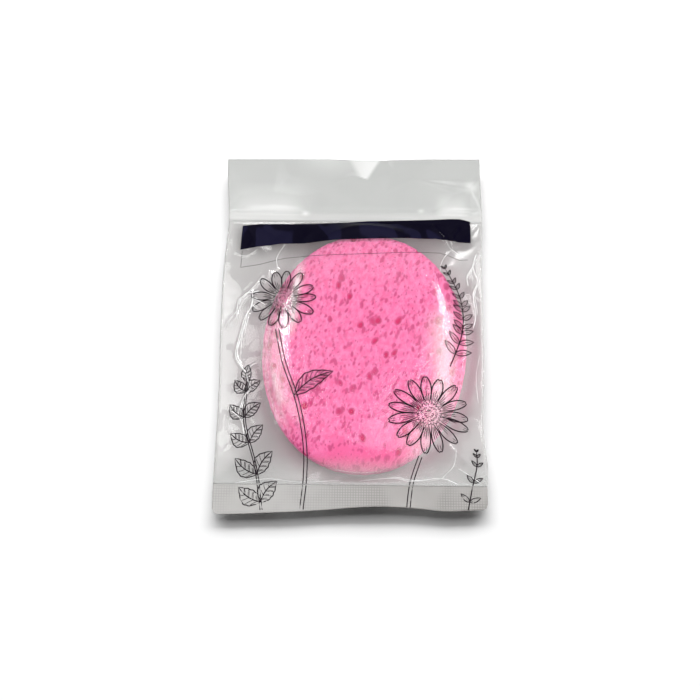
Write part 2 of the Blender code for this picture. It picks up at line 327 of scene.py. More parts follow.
def film_finish(name, clear, haze, haze_colour, gloss, veil, gloss_roughness=0.07, hatch=0.0):
    """See-through film: what it lets through, a little milky haze, a sharp gloss and a soft one."""
    finish = new_finish(name)
    places = finish.places()
    broad = finish.noise(places, 60, 2)
    fine = finish.noise(finish.stretched(places, (1.0, 1.6, 1.0)), 420, 3, 0.6)
    dimples = finish.noise(places, 620, 2, 0.6) * finish.painted("on_pad")
    relief = broad * 0.7 + fine * 0.05 + dimples * 0.16
    milk_colour = haze_colour
    if hatch:
        lines = finish.crossed_lines(places, CRIMP_WEAVE)
        lines = lines * finish.noise(places, 45, 2).rise(0.38, 0.62)
        milk_colour = finish.blend(lines * hatch, haze_colour, shaded(haze_colour, 0.55))
        relief = relief - lines * 0.15
    normal = finish.bump(relief, 0.35 * MM)
    milky = finish.painted("milky")
    cloud = finish.noise(places, 25, 3)
    see = finish.see_through(clear)
    milk = finish.solid(milk_colour, 0.5, {"Specular IOR Level": 0.2, "Normal": normal})
    white = finish.solid((0.97, 0.97, 0.96, 1), 0.4, {"Normal": normal})
    body = finish.mixed(cloud * (haze * 0.6) + milky * 0.45 + haze * 0.7, see, milk)
    # White where the piece is painted pale: painted highlights and crease glints on the front web, a paler
    # left end on the foot
    body = finish.mixed(finish.painted("pale_and_highlight"), body, white)
    body = finish.mixed(veil, body, finish.gloss(0.3, normal))
    edge = finish.node("ShaderNodeLayerWeight", {"Blend": 0.35}, output=1)
    sharp = finish.gloss(milky * 0.14 + gloss_roughness, normal)
    return finish.done(finish.mixed((edge**3.0) * 0.5 + gloss, body, sharp))


def sponge_finish():
    """Open cellulose sponge: bright pink with pale mottling, with painted shade in its pores and in a mottled
    patch by its foot.
    """
    finish = new_finish("sponge_pink")
    places = finish.places()
    pore = finish.painted("pore")
    cloud = finish.noise(places, 110, 3)
    leaning = finish.grained(places, 1.5, -0.25)
    mottle = finish.noise(leaning, 520, 3, 0.6)
    grain = finish.noise(places, 1500, 3, 0.65)
    fine_pore_shade = 1 - finish.cells(leaning, 700.0).rise(0.12, 0.26)
    fine_pore_shade = fine_pore_shade * finish.noise(places, 380, 2).rise(0.38, 0.54)
    pit = 1 - finish.cells(finish.grained(places, 1.9, -0.25), 330.0).rise(0.13, 0.27)
    pit = pit * finish.noise(places, 210, 2).rise(0.43, 0.56)
    pale = (mottle.rise(0.36, 0.64) * 0.65 + grain.rise(0.35, 0.7) * 0.25 + cloud * 0.2).clipped(0.0, 1.0)
    colour = finish.blend(pale, (0.87, 0.11, 0.32, 1), (0.95, 0.24, 0.505, 1))
    deep = finish.painted("deep") * (mottle.rise(0.35, 0.6) * 0.4 + 0.6)
    # Painted shade over the pink: a darker, deeper pink in the patch by the foot and in the fine, middle and
    # large pores
    for share, darker in (
        (deep, (0.84, 0.065, 0.275, 1)),
        (fine_pore_shade * 0.7, (0.46, 0.02, 0.15, 1)),
        (pit * 0.6, (0.60, 0.06, 0.24, 1)),
        (pore.rise(0.03, 0.5) * 0.85, (0.60, 0.045, 0.20, 1)),
        (pore.rise(0.55, 0.95), (0.63, 0.0, 0.12, 1)),
    ):
        colour = finish.blend(share, colour, darker)
    flesh = {
        "Specular IOR Level": 0.2,
        "Subsurface Weight": 0.12,
        "Subsurface Radius": (1.0, 0.25, 0.45),
        "Subsurface Scale": 0.8 * MM,
        "Normal": finish.bump(grain * 0.4 + mottle * 0.5 - (fine_pore_shade + pit) * 0.5, 0.2 * MM),
    }
    return finish.done(finish.solid(colour, 0.92, flesh))


def ink_surface(finish, colour, roughness, shine):
    """Ink with a slight unevenness in its gloss."""
    normal = finish.bump(finish.noise(finish.places(), 320, 2), 0.05 * MM)
    return finish.done(finish.solid(colour, roughness, {"Specular IOR Level": shine, "Normal": normal}))


def band_finish():
    """The band's dark ink, with a painted sheen a shade lighter in streaks, standing in for light caught by
    folds of the film under it.
    """
    finish = new_finish("band_ink")
    fold = finish.noise(finish.stretched(finish.places(), (1.0, 0.35, 1.0)), 55, 1, 0.4, 1.5).rise(0.5, 0.56)
    colour = finish.blend(fold, (0.003, 0.0022, 0.009, 1), (0.0085, 0.0075, 0.024, 1))
    return ink_surface(finish, colour, 0.42, 0.02)


def line_finish():
    """The dark ink of the drawn lines."""
    finish = new_finish("line_ink")
    cloud = finish.noise(finish.places(), 180, 3)
    dark = (0.008, 0.004, 0.007, 1)
    colour = finish.blend(cloud.rise(0.35, 0.7), dark, shaded(dark, 1.5))
    return ink_surface(finish, colour, cloud * 0.08 + 0.6, 0.1)


def crease_finish():
    """Film white along a sharp crease, part stress-whitening and part painted glint, still partly
    see-through.
    """
    finish = new_finish("crease_film")
    cloud = finish.noise(finish.places(), 260, 2)
    white = finish.solid((0.95, 0.95, 0.95, 1), 0.4)
    return finish.done(finish.mixed(cloud.rise(0.3, 0.7) * 0.3 + 0.68, finish.see_through(WHITE), white))


# Sponge


def oval_reach(angle, half_width, half_length):
    """How far the pad's squarish, slightly turned oval reaches at this angle."""
    across = np.abs(np.cos(angle - PAD_TURN)) / half_width
    along = np.abs(np.sin(angle - PAD_TURN)) / half_length
    return (across**PAD_SQUARENESS + along**PAD_SQUARENESS) ** (-1 / PAD_SQUARENESS)


def edge_fall(inside):
    """How far the rounded face of the pad has dropped, this far inside its outline."""
    share = np.clip(1 - inside / EDGE_RUN, 0, 1)
    return EDGE_DROP * (1 - np.sqrt(1 - share * share))


def shape_pad(piece):
    """Softens the pad's packed form: both faces round down further towards its outline."""
    places = read_places(piece)
    dx, dy = places[:, 0] - PAD_PLACE[0], places[:, 1] - PAD_PLACE[1]
    inside = oval_reach(np.arctan2(dy, dx), *PAD_HALF) - np.hypot(dx, dy)
    places[:, 2] = np.minimum(places[:, 2], PAD_TOP + PAD_CROWN - edge_fall(inside))
    write_places(piece, places)


def pore_sizes(chance):
    """Half width, half length and strength of the next pore: most are small, a few are large."""
    roll = chance.random()
    if roll < 0.045:
        return chance.uniform(0.95, 1.5) * MM, chance.uniform(1.3, 2.2) * MM, chance.uniform(0.65, 1.0)
    if roll < 0.35:
        half_width = chance.uniform(0.55, 0.85) * MM
    else:
        half_width = chance.uniform(0.36, 0.55) * MM
    return half_width, half_width * chance.uniform(1.3, 2.5), chance.uniform(0.2, 0.65)


def find_tree(places):
    """A tree that finds the nearest of these places."""
    tree = kdtree.KDTree(len(places))
    for index, place in enumerate(places):
        tree.insert(place, index)
    tree.balance()
    return tree


def open_pores(piece):
    """Presses pores into the pad's faces and paints how deep each point lies."""
    chance = random.Random(SEED)
    places = read_places(piece)
    normals = read_normals(piece)
    tree = find_tree(places)
    sink = np.zeros(len(places))
    depth_share = np.zeros(len(places))
    for _ in range(PORE_COUNT):
        centre_index = chance.randrange(len(places))
        centre = places[centre_index]
        normal = Vector(normals[centre_index])
        half_width, half_length, strength = pore_sizes(chance)
        turn = chance.gauss(0.22, 0.28)
        long_way = Vector((math.sin(turn), math.cos(turn), 0))
        if abs(normal.z) < 0.6:
            long_way = Vector((0, 0, 1)).lerp(long_way, 0.3)
        long_way = (long_way - normal * long_way.dot(normal)).normalized()
        short_way = normal.cross(long_way)
        ids = np.array([index for _, index, _ in tree.find_range(centre, half_length * 1.5)])
        offsets = places[ids] - centre
        along = offsets @ np.array(long_way) / half_length
        across = offsets @ np.array(short_way) / half_width
        bearing = np.arctan2(across, along)
        wobble = 1 + 0.10 * np.sin(3 * bearing + turn * 9) + 0.06 * np.sin(5 * bearing + turn * 23)
        out = (along**2 + across**2) * wobble
        bowl = np.sqrt(np.clip(1 - out, 0, 1))
        sink[ids] = np.maximum(sink[ids], bowl * half_width * (0.2 + 0.35 * strength))
        depth_share[ids] = np.maximum(depth_share[ids], smoothstep(2.0, 0.0, out) * strength)
    write_places(piece, places - normals * sink[:, None])
    paint(piece, "pore", depth_share)


def paint_foot_shade(piece):
    """Paints shade on the pad: an uneven patch by its foot, darker and a deeper pink."""
    places = read_places(piece)
    across = (places[:, 0] - FOOT_SHADE_PLACE[0]) / FOOT_SHADE_HALF[0]
    along = (places[:, 1] - FOOT_SHADE_PLACE[1]) / FOOT_SHADE_HALF[1]
    ripple = 0.18 * np.sin(places[:, 0] / (4.3 * MM)) + 0.12 * np.sin(places[:, 0] / (1.9 * MM) + 1)
    paint(piece, "deep", FOOT_SHADE_STRENGTH * smoothstep(1.3, 0.7, np.hypot(across, along + ripple)))


def roughen(piece):
    """Small unevenness along the normals, as a knife leaves on an open sponge."""
    texture = bpy.data.textures.new("cut_face", "CLOUDS")
    texture.noise_scale = CUT_GRAIN
    texture.noise_depth = 2
    rough = piece.modifiers.new("cut", "DISPLACE")
    rough.texture = texture
    rough.texture_coords = "LOCAL"
    rough.strength = CUT_DEPTH
    rough.mid_level = 1.0
    apply_all(piece)


def make_sponge():
    """The pad, remeshed finely from its packed form, softened, roughened and pitted."""
    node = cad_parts["sponge"]
    piece = node.copy()
    piece.data = node.data.copy()
    piece.name = "sponge_pad"
    piece.parent = None
    for key in [k for k in piece.keys() if k.startswith("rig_")]:
        del piece[key]
    bpy.context.scene.collection.objects.link(piece)
    pick(piece)
    bpy.ops.object.mode_set(mode="EDIT")
    bpy.ops.mesh.select_all(action="SELECT")
    bpy.ops.mesh.remove_doubles(threshold=0.01 * MM)
    bpy.ops.object.mode_set(mode="OBJECT")
    remesh = piece.modifiers.new("voxels", "REMESH")
    remesh.mode = "VOXEL"
    remesh.voxel_size = PAD_VOXEL
    remesh.use_smooth_shade = True
    smooth = piece.modifiers.new("relax", "SMOOTH")
    smooth.iterations = 6
    apply_all(piece)
    shape_pad(piece)
    roughen(piece)
    open_pores(piece)
    paint_foot_shade(piece)
    pick(piece)
    bpy.ops.object.shade_smooth()
    dress(piece, sponge_finish())
    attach(piece, "pad")
    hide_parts("sponge")


# Film


def around_pad(x, y):
    """Distance from the middle of the pad's travel, the outline there, and the pouch's edge there."""
    travel = PAD_SLIDE[1] - PAD_SLIDE[0]
    middle = (PAD_PLACE[0], PAD_PLACE[1] + (PAD_SLIDE[0] + PAD_SLIDE[1]) / 2)
    dx, dy = x - middle[0], y - middle[1]
    out = np.maximum(np.hypot(dx, dy), 1e-9)
    outline = oval_reach(np.arctan2(dy, dx), PAD_HALF[0] + PAD_CLEARANCE, PAD_HALF[1] + travel / 2)
    side = np.where(dx > 0, HALF_WIDTH - middle[0], HALF_WIDTH + middle[0])
    end = np.where(dy > 0, FILM_TOP_Y - middle[1], middle[1] - FILM_FOOT_Y)
    to_side = side / np.maximum(np.abs(dx), 1e-9) * out
    to_end = end / np.maximum(np.abs(dy), 1e-9) * out
    return out, outline, np.minimum(to_side, to_end)


def front_drape(x, y):
    """Height of the front film: over the pad's rounded face, then straight to the pouch's edge."""
    out, outline, reach = around_pad(x, y)
    last = reach - RIM_WIDTH
    rim = SEAM_HEIGHT + PLY_RISE
    lift = PAD_CLEARANCE + FILM_WALL / 2
    turns = np.linspace(0, np.pi / 2, 61)[:-1]
    sine, cosine = np.sin(turns), np.cos(turns)
    lengths = np.hypot(EDGE_DROP * sine, EDGE_RUN * cosine)
    heights = PAD_TOP - EDGE_DROP + EDGE_DROP * cosine + lift * EDGE_RUN * cosine / lengths
    insets = EDGE_RUN * (1 - sine) - lift * EDGE_DROP * sine / lengths
    stations = outline[:, None] - insets[None, :]
    slopes = (heights[None, :] - rim) / np.maximum(last[:, None] - stations, 1e-6)
    touch = slopes.argmax(axis=1)
    touch_out = stations[np.arange(len(x)), touch]
    touch_height = heights[touch]
    crown = PAD_CROWN * np.clip(1 - (out / np.maximum(outline - EDGE_RUN, 1e-6)) ** 2, 0, 1)
    order = np.argsort(-insets)
    laid = np.interp(-(outline - out), -insets[order], heights[order])
    run = np.clip((out - touch_out) / np.maximum(last - touch_out, 1e-6), 0, 1)
    free = touch_height + (rim - touch_height) * run
    return np.where(out <= touch_out, laid + crown, free)


def back_drape(x, y):
    """Height of the back film: flat on the ground, stepped over the fin, then up to the edge."""
    out, outline, reach = around_pad(x, y)
    last = reach - RIM_WIDTH
    rim = SEAM_HEIGHT - PLY_RISE
    middle = PAD_BASE + FOOT_EDGE_RADIUS
    radius = middle - FILM_WALL / 2
    core = outline - FOOT_EDGE_RADIUS
    run, drop = last - core, rim - middle
    tilt = np.arccos(np.clip(radius / np.hypot(run, drop), -1, 1))
    leave = np.pi / 2 - (tilt + np.arctan2(drop, run))
    arc = middle - radius * np.cos(np.arcsin(np.clip((out - core) / radius, 0, 1)))
    leave_out = core + radius * np.sin(leave)
    leave_height = middle - radius * np.cos(leave)
    share = np.clip((out - leave_out) / np.maximum(last - leave_out, 1e-6), 0, 1)
    straight = leave_height + (rim - leave_height) * share
    height = np.where(out < core, FILM_WALL / 2, np.where(out < leave_out, arc, straight))
    outside = np.maximum(np.maximum(FIN_LOW_X - x, x - FIN_HIGH_X), 0)
    lift = FIN_LIFT * np.maximum(0, 1 - outside / FIN_RAMP)
    return np.maximum(height, lift + FILM_WALL / 2)


def line_distance(x, y, points):
    """Distance from each place to a broken line, and the share of the way along it."""
    best = np.full(len(x), 1.0)
    share = np.zeros(len(x))
    pieces = list(zip(points, points[1:]))
    for number, (start, end) in enumerate(pieces):
        ax, ay = start[0] * MM, start[1] * MM
        bx, by = end[0] * MM, end[1] * MM
        length = max((bx - ax) ** 2 + (by - ay) ** 2, 1e-12)
        t = np.clip(((x - ax) * (bx - ax) + (y - ay) * (by - ay)) / length, 0, 1)
        far = np.hypot(x - ax - t * (bx - ax), y - ay - t * (by - ay))
        nearer = far < best
        best = np.where(nearer, far, best)
        share = np.where(nearer, (number + t) / len(pieces), share)
    return best, share


def crease(x, y, points, rise, width):
    """A sharp fold along a broken line, dying out at both ends."""
    far, share = line_distance(x, y, points)
    return rise * MM * np.clip(1 - far / (width * MM), 0, 1) ** 1.6 * fade_ends(share, 0.12)


def facets(x, y, sites, heights):
    """Crumpled film: flat facets between these sites, with sharp folds where they meet."""
    coordinates = [Vector(site) for site in sites]
    result = geometry.delaunay_2d_cdt(coordinates, [], [], 0, 1e-7)
    corners, triangles, origins = result[0], result[2], result[3]
    raised = [heights[origin[0]] if origin else 0.0 for origin in origins]
    height = np.zeros(len(x))
    for a, b, c in triangles:
        pa, pb, pc = corners[a], corners[b], corners[c]
        all_x, all_y = (pa.x, pb.x, pc.x), (pa.y, pb.y, pc.y)
        within = (x >= min(all_x)) & (x <= max(all_x)) & (y >= min(all_y)) & (y <= max(all_y))
        near = np.nonzero(within)[0]
        area = (pb.x - pa.x) * (pc.y - pa.y) - (pc.x - pa.x) * (pb.y - pa.y)
        if not len(near) or abs(area) < 1e-12:
            continue
        px, py = x[near] - pa.x, y[near] - pa.y
        u = (px * (pc.y - pa.y) - py * (pc.x - pa.x)) / area
        v = (py * (pb.x - pa.x) - px * (pb.y - pa.y)) / area
        inside = (u >= -1e-6) & (v >= -1e-6) & (u + v <= 1 + 1e-6)
        ids = near[inside]
        u, v = u[inside], v[inside]
        height[ids] = raised[a] * (1 - u - v) + raised[b] * u + raised[c] * v
    return height


# The ground that the crumpled facets cover, wider than the pack: its low corner and its size
CRUMPLE_LOW = (-70 * MM, -95 * MM)
CRUMPLE_SPAN = (140 * MM, 190 * MM)


def crumple(x, y, spacing, amount, seed, stretch=(1.0, 1.0)):
    """Seeded facets over the whole pack, this far apart."""
    chance = random.Random(seed)
    steps = [spacing * part * MM for part in stretch]
    columns, rows = (int(span / step) + 2 for span, step in zip(CRUMPLE_SPAN, steps))
    sites, heights = [], []
    for row in range(rows):
        for column in range(columns):
            across = column + 0.5 * (row % 2) + chance.uniform(-0.42, 0.42)
            along = row + chance.uniform(-0.42, 0.42)
            sites.append((CRUMPLE_LOW[0] + across * steps[0], CRUMPLE_LOW[1] + along * steps[1]))
            heights.append(chance.uniform(-1, 1) * amount * MM)
    return facets(x, y, sites, heights)


# Sharp creases of the front film: line, rise, width, and how white the film is along it, part
# stress-whitening and part painted glint
FRONT_CREASES = (
    (
        ((-52.3, 1.8), (-52.4, 5.7), (-51.9, 10.6), (-50.0, 12.6),
         (-47.8, 14.4), (-45.5, 14.4), (-42.3, 15.1)),
        0.4, 1.1, 0.9,
    ),
    (
        ((-45.5, 14.3), (-45.6, 8.5), (-48.3, 2.9), (-50.0, -3.3),
         (-51.2, -8.7), (-52.5, -14.9), (-50.4, -19.6), (-47.1, -23.6)),
        0.45, 1.1, 0.95,
    ),
    (
        ((-47.1, -23.6), (-46.2, -27.5), (-44.9, -30.9),
         (-47.3, -34.2), (-48.9, -38.2), (-50.0, -43.3)),
        0.35, 1.2, 0.6,
    ),
    (((-45.4, 11.6), (-41.2, 9.2), (-39.4, 7.8)), 0.3, 1.0, 0.7),
    (((-45.6, 8.5), (-42.9, 6.1)), 0.3, 1.0, 0.7),
    (((-47.1, 7.7), (-47.9, 1.9), (-49.0, -3.9), (-49.7, -9.6), (-50.0, -15.3)), 0.25, 1.0, 0.6),
    (((-57.9, -1.6), (-56.0, 2.0), (-53.8, 4.2), (-52.4, 5.7)), 0.4, 1.4, 0.9),
    (((-51.4, 6.7), (-49.7, 10.6), (-47.5, 12.6)), 0.2, 0.9, 0.5),
    (((-42.0, 21.1), (-45.3, 16.9), (-47.8, 14.4)), 0.3, 1.1, 0.5),
    (((-47.1, -23.6), (-45.1, -20.9), (-42.4, -19.5)), 0.3, 1.1, 0.5),
    (((-55, -40), (-49, -45), (-47, -53)), 0.35, 1.4, 0.5),
    (((57.5, 36), (55.5, 29), (57.6, 22), (55.3, 15), (56.4, 5), (54.8, -2)), 0.35, 1.2, 0.8),
    (((55.5, 29), (52.8, 24), (53.0, 19)), 0.3, 1.1, 0.6),
    (((58.5, 12), (55.3, 15)), 0.3, 1.1, 0.6),
    (((57.8, -14), (56, -24), (57.4, -36)), 0.3, 1.1, 0.3),
    (((-50, -73), (-36, -71.2), (-22, -72.4), (-4, -71.5)), 0.25, 1.3, 0.25),
    (((4, -71.8), (19, -70.6), (27, -71.6), (40, -70.4), (47, -72.6)), 0.3, 1.3, 0.6),
    (((40, -70.4), (45, -65), (46.5, -58)), 0.35, 1.3, 0.35),
    (((47, -66), (52, -69), (57, -72)), 0.35, 1.3, 0.5),
    (((-56, 36), (-50, 33), (-44, 36)), 0.3, 1.3, 0.4),
    (((50, 50), (46, 44), (48, 37)), 0.45, 1.4, 0.0),
    (((36, 51), (42, 44), (45, 37), (51, 33)), 0.5, 1.3, 0.3),
    (((-51, 49), (-46, 42), (-49, 36)), 0.4, 1.4, 0.0),
    (((-44, 49), (-36, 43), (-30, 40)), 0.3, 1.8, 0.0),
    (((-31, 39), (-35, 31), (-34, 25)), 0.25, 1.2, 0.4),
    (((46, 37), (41, 30), (40, 24)), 0.25, 1.2, 0.3),
)


def front_wrinkles(x, y):
    """Wrinkles in the free film round the pad, dying out at the welds, the folds and on the pad."""
    out, outline, reach = around_pad(x, y)
    beyond = smoothstep(-4 * MM, 5 * MM, out - outline)
    inside = smoothstep(0.0, 5 * MM, reach - out)
    coarse = crumple(x, y, 11, 0.42, 3)
    fine = crumple(x, y, 4.5, 0.13, 5)
    soft = crumple(x, y, 14, 0.05, 8, (0.8, 1.5))
    height = (coarse + fine) * beyond * inside
    for points, rise, width, _ in FRONT_CREASES:
        height += crease(x, y, points, rise, width) * inside
    return height + np.abs(soft) * (1 - beyond)


# Painted highlights on the header's film, fading upwards from its weld: place across, half width,
# how far up they reach, and strength
WELD_HIGHLIGHTS = ((-41, 17, 17, 0.36), (46.5, 7, 12, 0.36), (0, 70, 5, 0.04))

# Small painted highlights on the pouch's film, in its left margin: place, half width, half height, strength
MARGIN_HIGHLIGHTS = (
    (-56.2, 0.6, 1.7, 2.4, 0.16),
    (-41.0, 21.4, 1.1, 1.1, 0.22),
    (-52.6, -15.0, 1.1, 1.4, 0.2),
    (-47.2, -24.0, 1.2, 1.2, 0.2),
    (-52.0, -38.5, 2.6, 3.4, 0.1),
    (-54.6, -47.5, 2.0, 3.6, 0.13),
    (-56.4, -57.0, 1.6, 4.0, 0.1),
    (-57.0, -30.0, 1.2, 5.0, 0.08),
    (56.2, 22.0, 1.2, 5.0, 0.1),
)

# Painted highlight streaks on the film down the pad's left side: line in mm, half width in mm, strength
PAD_HIGHLIGHT_STREAKS = (
    (((-22.4, 34.0), (-24.8, 21.0), (-25.9, 11.1), (-26.6, 0.5), (-28.0, -11.4)), 1.9, 0.3),
    (((-34.5, -21.0), (-33.6, -28.0), (-31.6, -35.0), (-29.5, -42.0)), 1.2, 0.17),
)

# Small painted highlights on the header's film: place across and along, half width, half height, strength
HEADER_GLINTS = (
    (55.2, 70.0, 2.6, 2.6, 0.3),
    (51.0, 58.7, 6.0, 0.5, 0.2),
    (31.9, 57.6, 1.4, 0.9, 0.2),
    (-22.4, 55.8, 1.5, 0.9, 0.32),
    (-12.0, 85.5, 14.0, 8.0, 0.15),
)

# The painted highlight on the pressed notch in the middle of the header's top edge: its corners, clockwise
# from the upper left
NOTCH = ((-4.5, 85.5), (14.0, 85.5), (7.3, 73.4), (0.2, 76.0))
NOTCH_SOFTNESS = (1.0, 2.2, 0.6, 4.0)
NOTCH_HIGHLIGHT = (0.34, 0.50)

# Strengths of the milky rim, of the painted sheen over the pad, and of the creases' whitening and painted
# glint
RIM_MILK = 0.5
PAD_SHEEN, PAD_SHEEN_EDGE, PAD_SHEEN_TOP = 0.21, 0.09, 0.02
CREASE_WHITENING_AND_GLINT = 0.1


def highlight_patches(x, y, table):
    """Soft painted highlights: place across and along, half width, half height and strength of each."""
    total = np.zeros(len(x))
    for across, along, half_width, half_height, strength in table:
        total += strength * hill(x, across, half_width) * hill(y, along, half_height)
    return total


def header_painted_highlights(u, v):
    """Painted highlights on the header's film: by the weld, in small spots and on its pressed notch."""
    x, y = u / MM, v / MM
    rise = y - HEADER_AXIS_Y / MM
    total = (0.05 + 0.1 * smoothstep(-20, -30, x)) * smoothstep(0.6, -0.6, rise) + highlight_patches(x, y, HEADER_GLINTS)
    for place, half, reach, strength in WELD_HIGHLIGHTS:
        across = np.exp(-(((x - place) / half) ** 4))
        total += strength * across * np.clip(1 - rise / reach, 0, 1) * smoothstep(-0.6, 0.6, rise)
    inside = np.ones(len(u))
    for start, end, softness in zip(NOTCH, NOTCH[1:] + NOTCH[:1], NOTCH_SOFTNESS):
        dx, dy = end[0] - start[0], end[1] - start[1]
        within = (dy * (x - start[0]) - dx * (y - start[1])) / math.hypot(dx, dy)
        inside *= smoothstep(0, softness, within)
    faint, bright = NOTCH_HIGHLIGHT
    total = np.maximum(total, inside * (faint + (bright - faint) * smoothstep(-2, 8, x)))
    return np.clip(total, 0, 1) * smoothstep(-3.4, -2.6, rise)


def over_pad(u, v, side):
    """How far inside the pad's outline a place lies, and its bearing from the pad's right or left."""
    out, outline, _ = around_pad(u, v)
    return (outline - out) / MM, np.degrees(np.arctan2(v - PAD_PLACE[1], side * (u - PAD_PLACE[0])))


def rim_milk(u, v):
    """How much milkier the film is where it clings to the pad's left rim, in streaks along it."""
    inside, bearing = over_pad(u, v, -1)
    band = hill(inside, 3.0, 4.0) + 0.5 * hill(inside, 8.5, 1.3)
    streaks = 0.75 + 0.25 * np.sin(inside * 2.1 + np.sin(bearing * 0.08) * 2)
    return RIM_MILK * band * streaks * smoothstep(-58, -30, bearing) * smoothstep(52, 25, bearing)


def pad_sheen(u, v):
    """Painted sheen of the film over the pad: a pale highlight veil down its right, highlight streaks down
    its left.
    """
    inside, bearing = over_pad(u, v, 1)
    reach = smoothstep(-80, -50, bearing) * smoothstep(38, 15, bearing)
    total = PAD_SHEEN * hill(inside, 4.0 + 7.5 * smoothstep(-55, 5, bearing), 5.5) * reach
    edge_reach = smoothstep(-80, -60, bearing) * smoothstep(45, 25, bearing)
    total += PAD_SHEEN_EDGE * hill(inside, 0, 2.5) * edge_reach
    total += PAD_SHEEN_TOP * smoothstep(8 * MM, 32 * MM, v) * smoothstep(-1, 4, inside)
    for points, half_width, strength in PAD_HIGHLIGHT_STREAKS:
        far, share = line_distance(u, v, points)
        total += strength * fade_ends(share, 0.3) * hill(far, 0, half_width * MM)
    return total


def film_highlights_and_whitening(u, v):
    """How white the front film is painted: highlights on header, pad and margin, and its creases' whitening
    and glint.
    """
    total = header_painted_highlights(u, v) + pad_sheen(u, v) + highlight_patches(u / MM, v / MM, MARGIN_HIGHLIGHTS)
    for points, _, _, whiteness in FRONT_CREASES:
        far, share = line_distance(u, v, points)
        uneven = 0.75 + 0.25 * np.sin(share * 17 + points[0][0])
        line = smoothstep(1.6 * MM, 0.2 * MM, far) * fade_ends(share, 0.1)
        total = np.maximum(total, line * whiteness * uneven * CREASE_WHITENING_AND_GLINT)
    return total


# Folds of the header: place across and along, and rise; the first SHARED_FOLDS are in both plies, the
# others in the front one only
SHARED_FOLDS = 2
HEADER_FOLDS = (
    (-1.5, 85.5, -0.3), (15, 85.5, -0.3), (-1, 78, 0.2), (7.3, 73.4, 0.7), (0.2, 76, 0.6),
    (-6.5, 85.5, 0.1), (17.5, 85.5, 0.2), (-11.2, 71.7, 0.5), (-15.4, 67.4, 0.3), (15.1, 67.8, 0.4),
    (19.5, 78, 0.2), (-10, 79, 0.3), (0, 62, 0.5), (-60.5, 56.6, 0.1), (-56, 56.6, 0.5), (-51, 56.5, 1.1),
    (-39, 56.4, 1.5), (-27, 56.3, 1), (-20, 56.4, 0.2), (-52, 60, 0.4), (-38, 60.4, 0.6), (-26, 59.6, 0.3),
    (-54, 65.5, 0), (-38, 67, 0), (-24, 65, 0), (36, 56.5, 0.2), (43, 56.6, 0.8), (48, 56.8, 1.1),
    (53, 56.6, 0.8), (57, 56.5, 0.2), (42, 60.5, 0.2), (48, 61, 0.3), (54.5, 60.5, 0.2), (48, 66.5, 0),
    (49, 69.5, 0.9), (55, 69, 0.7), (50, 73.5, 0), (56, 73, 0), (60.5, 57.2, 0), (60.5, 76, 0),
    (-60.5, 76, 0), (-60.5, 86.5, 0), (60.5, 86.5, 0), (-35, 86.5, 0.2), (40, 86.5, 0.2), (-30, 76, 0.6),
    (28, 74, 0.6), (-10, 57.2, 0), (15, 57.2, 0),
)


def header_relief(u, v, ply):
    """Rise of one ply of the header over its flat lie: flat facets that meet in soft folds."""
    sites = [(across * MM, along * MM) for across, along, _ in HEADER_FOLDS]
    heights = [rise * MM for _, _, rise in HEADER_FOLDS]
    if ply:
        heights[SHARED_FOLDS:] = [0.0] * (len(heights) - SHARED_FOLDS)
    total = np.zeros(len(u))
    for du, dv in ((-1, 0), (1, 0), (0, -1), (0, 1), (0, 0)):
        total += facets(u + du * 0.5 * MM, v + dv * 0.5 * MM, sites, heights)
    return total / 5 * smoothstep(HEADER_AXIS_Y, HEADER_AXIS_Y + 0.8 * MM, v)


def side_wave(v, side):
    """How far a fold down one side of the pack strays from straight."""
    t = v / MM
    if side < 0:
        return (1.7 * hill(t, 52, 18) + 0.6 * hill(t, -35, 25)) * MM
    return (-1.0 * hill(t, -45, 16) + 0.5 * hill(t, 55, 15) + 0.7 * hill(t, -64, 7)) * MM


def lay_out(u, v):
    """Where the flat web's places lie on the ground plan of the pack."""
    share = np.clip(np.abs(u) / HALF_WIDTH, 0, 1) ** 4
    x = u + share * np.where(u < 0, side_wave(v, -1), side_wave(v, 1))
    up = np.clip((v - HEADER_AXIS_Y) / (HEADER_END_Y - HEADER_AXIS_Y), 0, 1)
    top = -0.6 * hill(u / MM, 10, 16) + 0.6 * (u / HALF_WIDTH)
    return x, v + up * (top - 0.2) * MM


def weld_ribs(v):
    """Fine ribs pressed across the weld under the header."""
    inside = smoothstep(WELD_FOOT_Y - 0.4 * MM, WELD_FOOT_Y + 0.4 * MM, v)
    inside *= smoothstep(HEADER_AXIS_Y + 0.4 * MM, HEADER_AXIS_Y - 0.4 * MM, v)
    return WELD_RIB_DEPTH * np.sin(2 * np.pi * v / WELD_RIB_PITCH) * inside


def web_height(u, v, ply):
    """Height of the middle of one web's film at each flat place: ply 0 is the front, 1 the back."""
    up = -1 if ply else 1
    low = SEAM_HEIGHT + up * WELD_RISE
    pouch = back_drape(u, v) if ply else front_drape(u, v) + front_wrinkles(u, v)
    header = low + header_relief(u, v, ply)
    height = np.where(v < FILM_TOP_Y, pouch, np.where(v < HEADER_AXIS_Y, low, header))
    if not ply:
        near_weld = smoothstep(FILM_TOP_Y - 2 * MM, FILM_TOP_Y, v) * (v < FILM_TOP_Y)
        height = height + (WELD_RISE - PLY_RISE) * near_weld
    fold = smoothstep(HALF_WIDTH - RIM_WIDTH, HALF_WIDTH, np.abs(u))
    return height + (SEAM_HEIGHT + up * FOLD_RISE - height) * fold + weld_ribs(v)


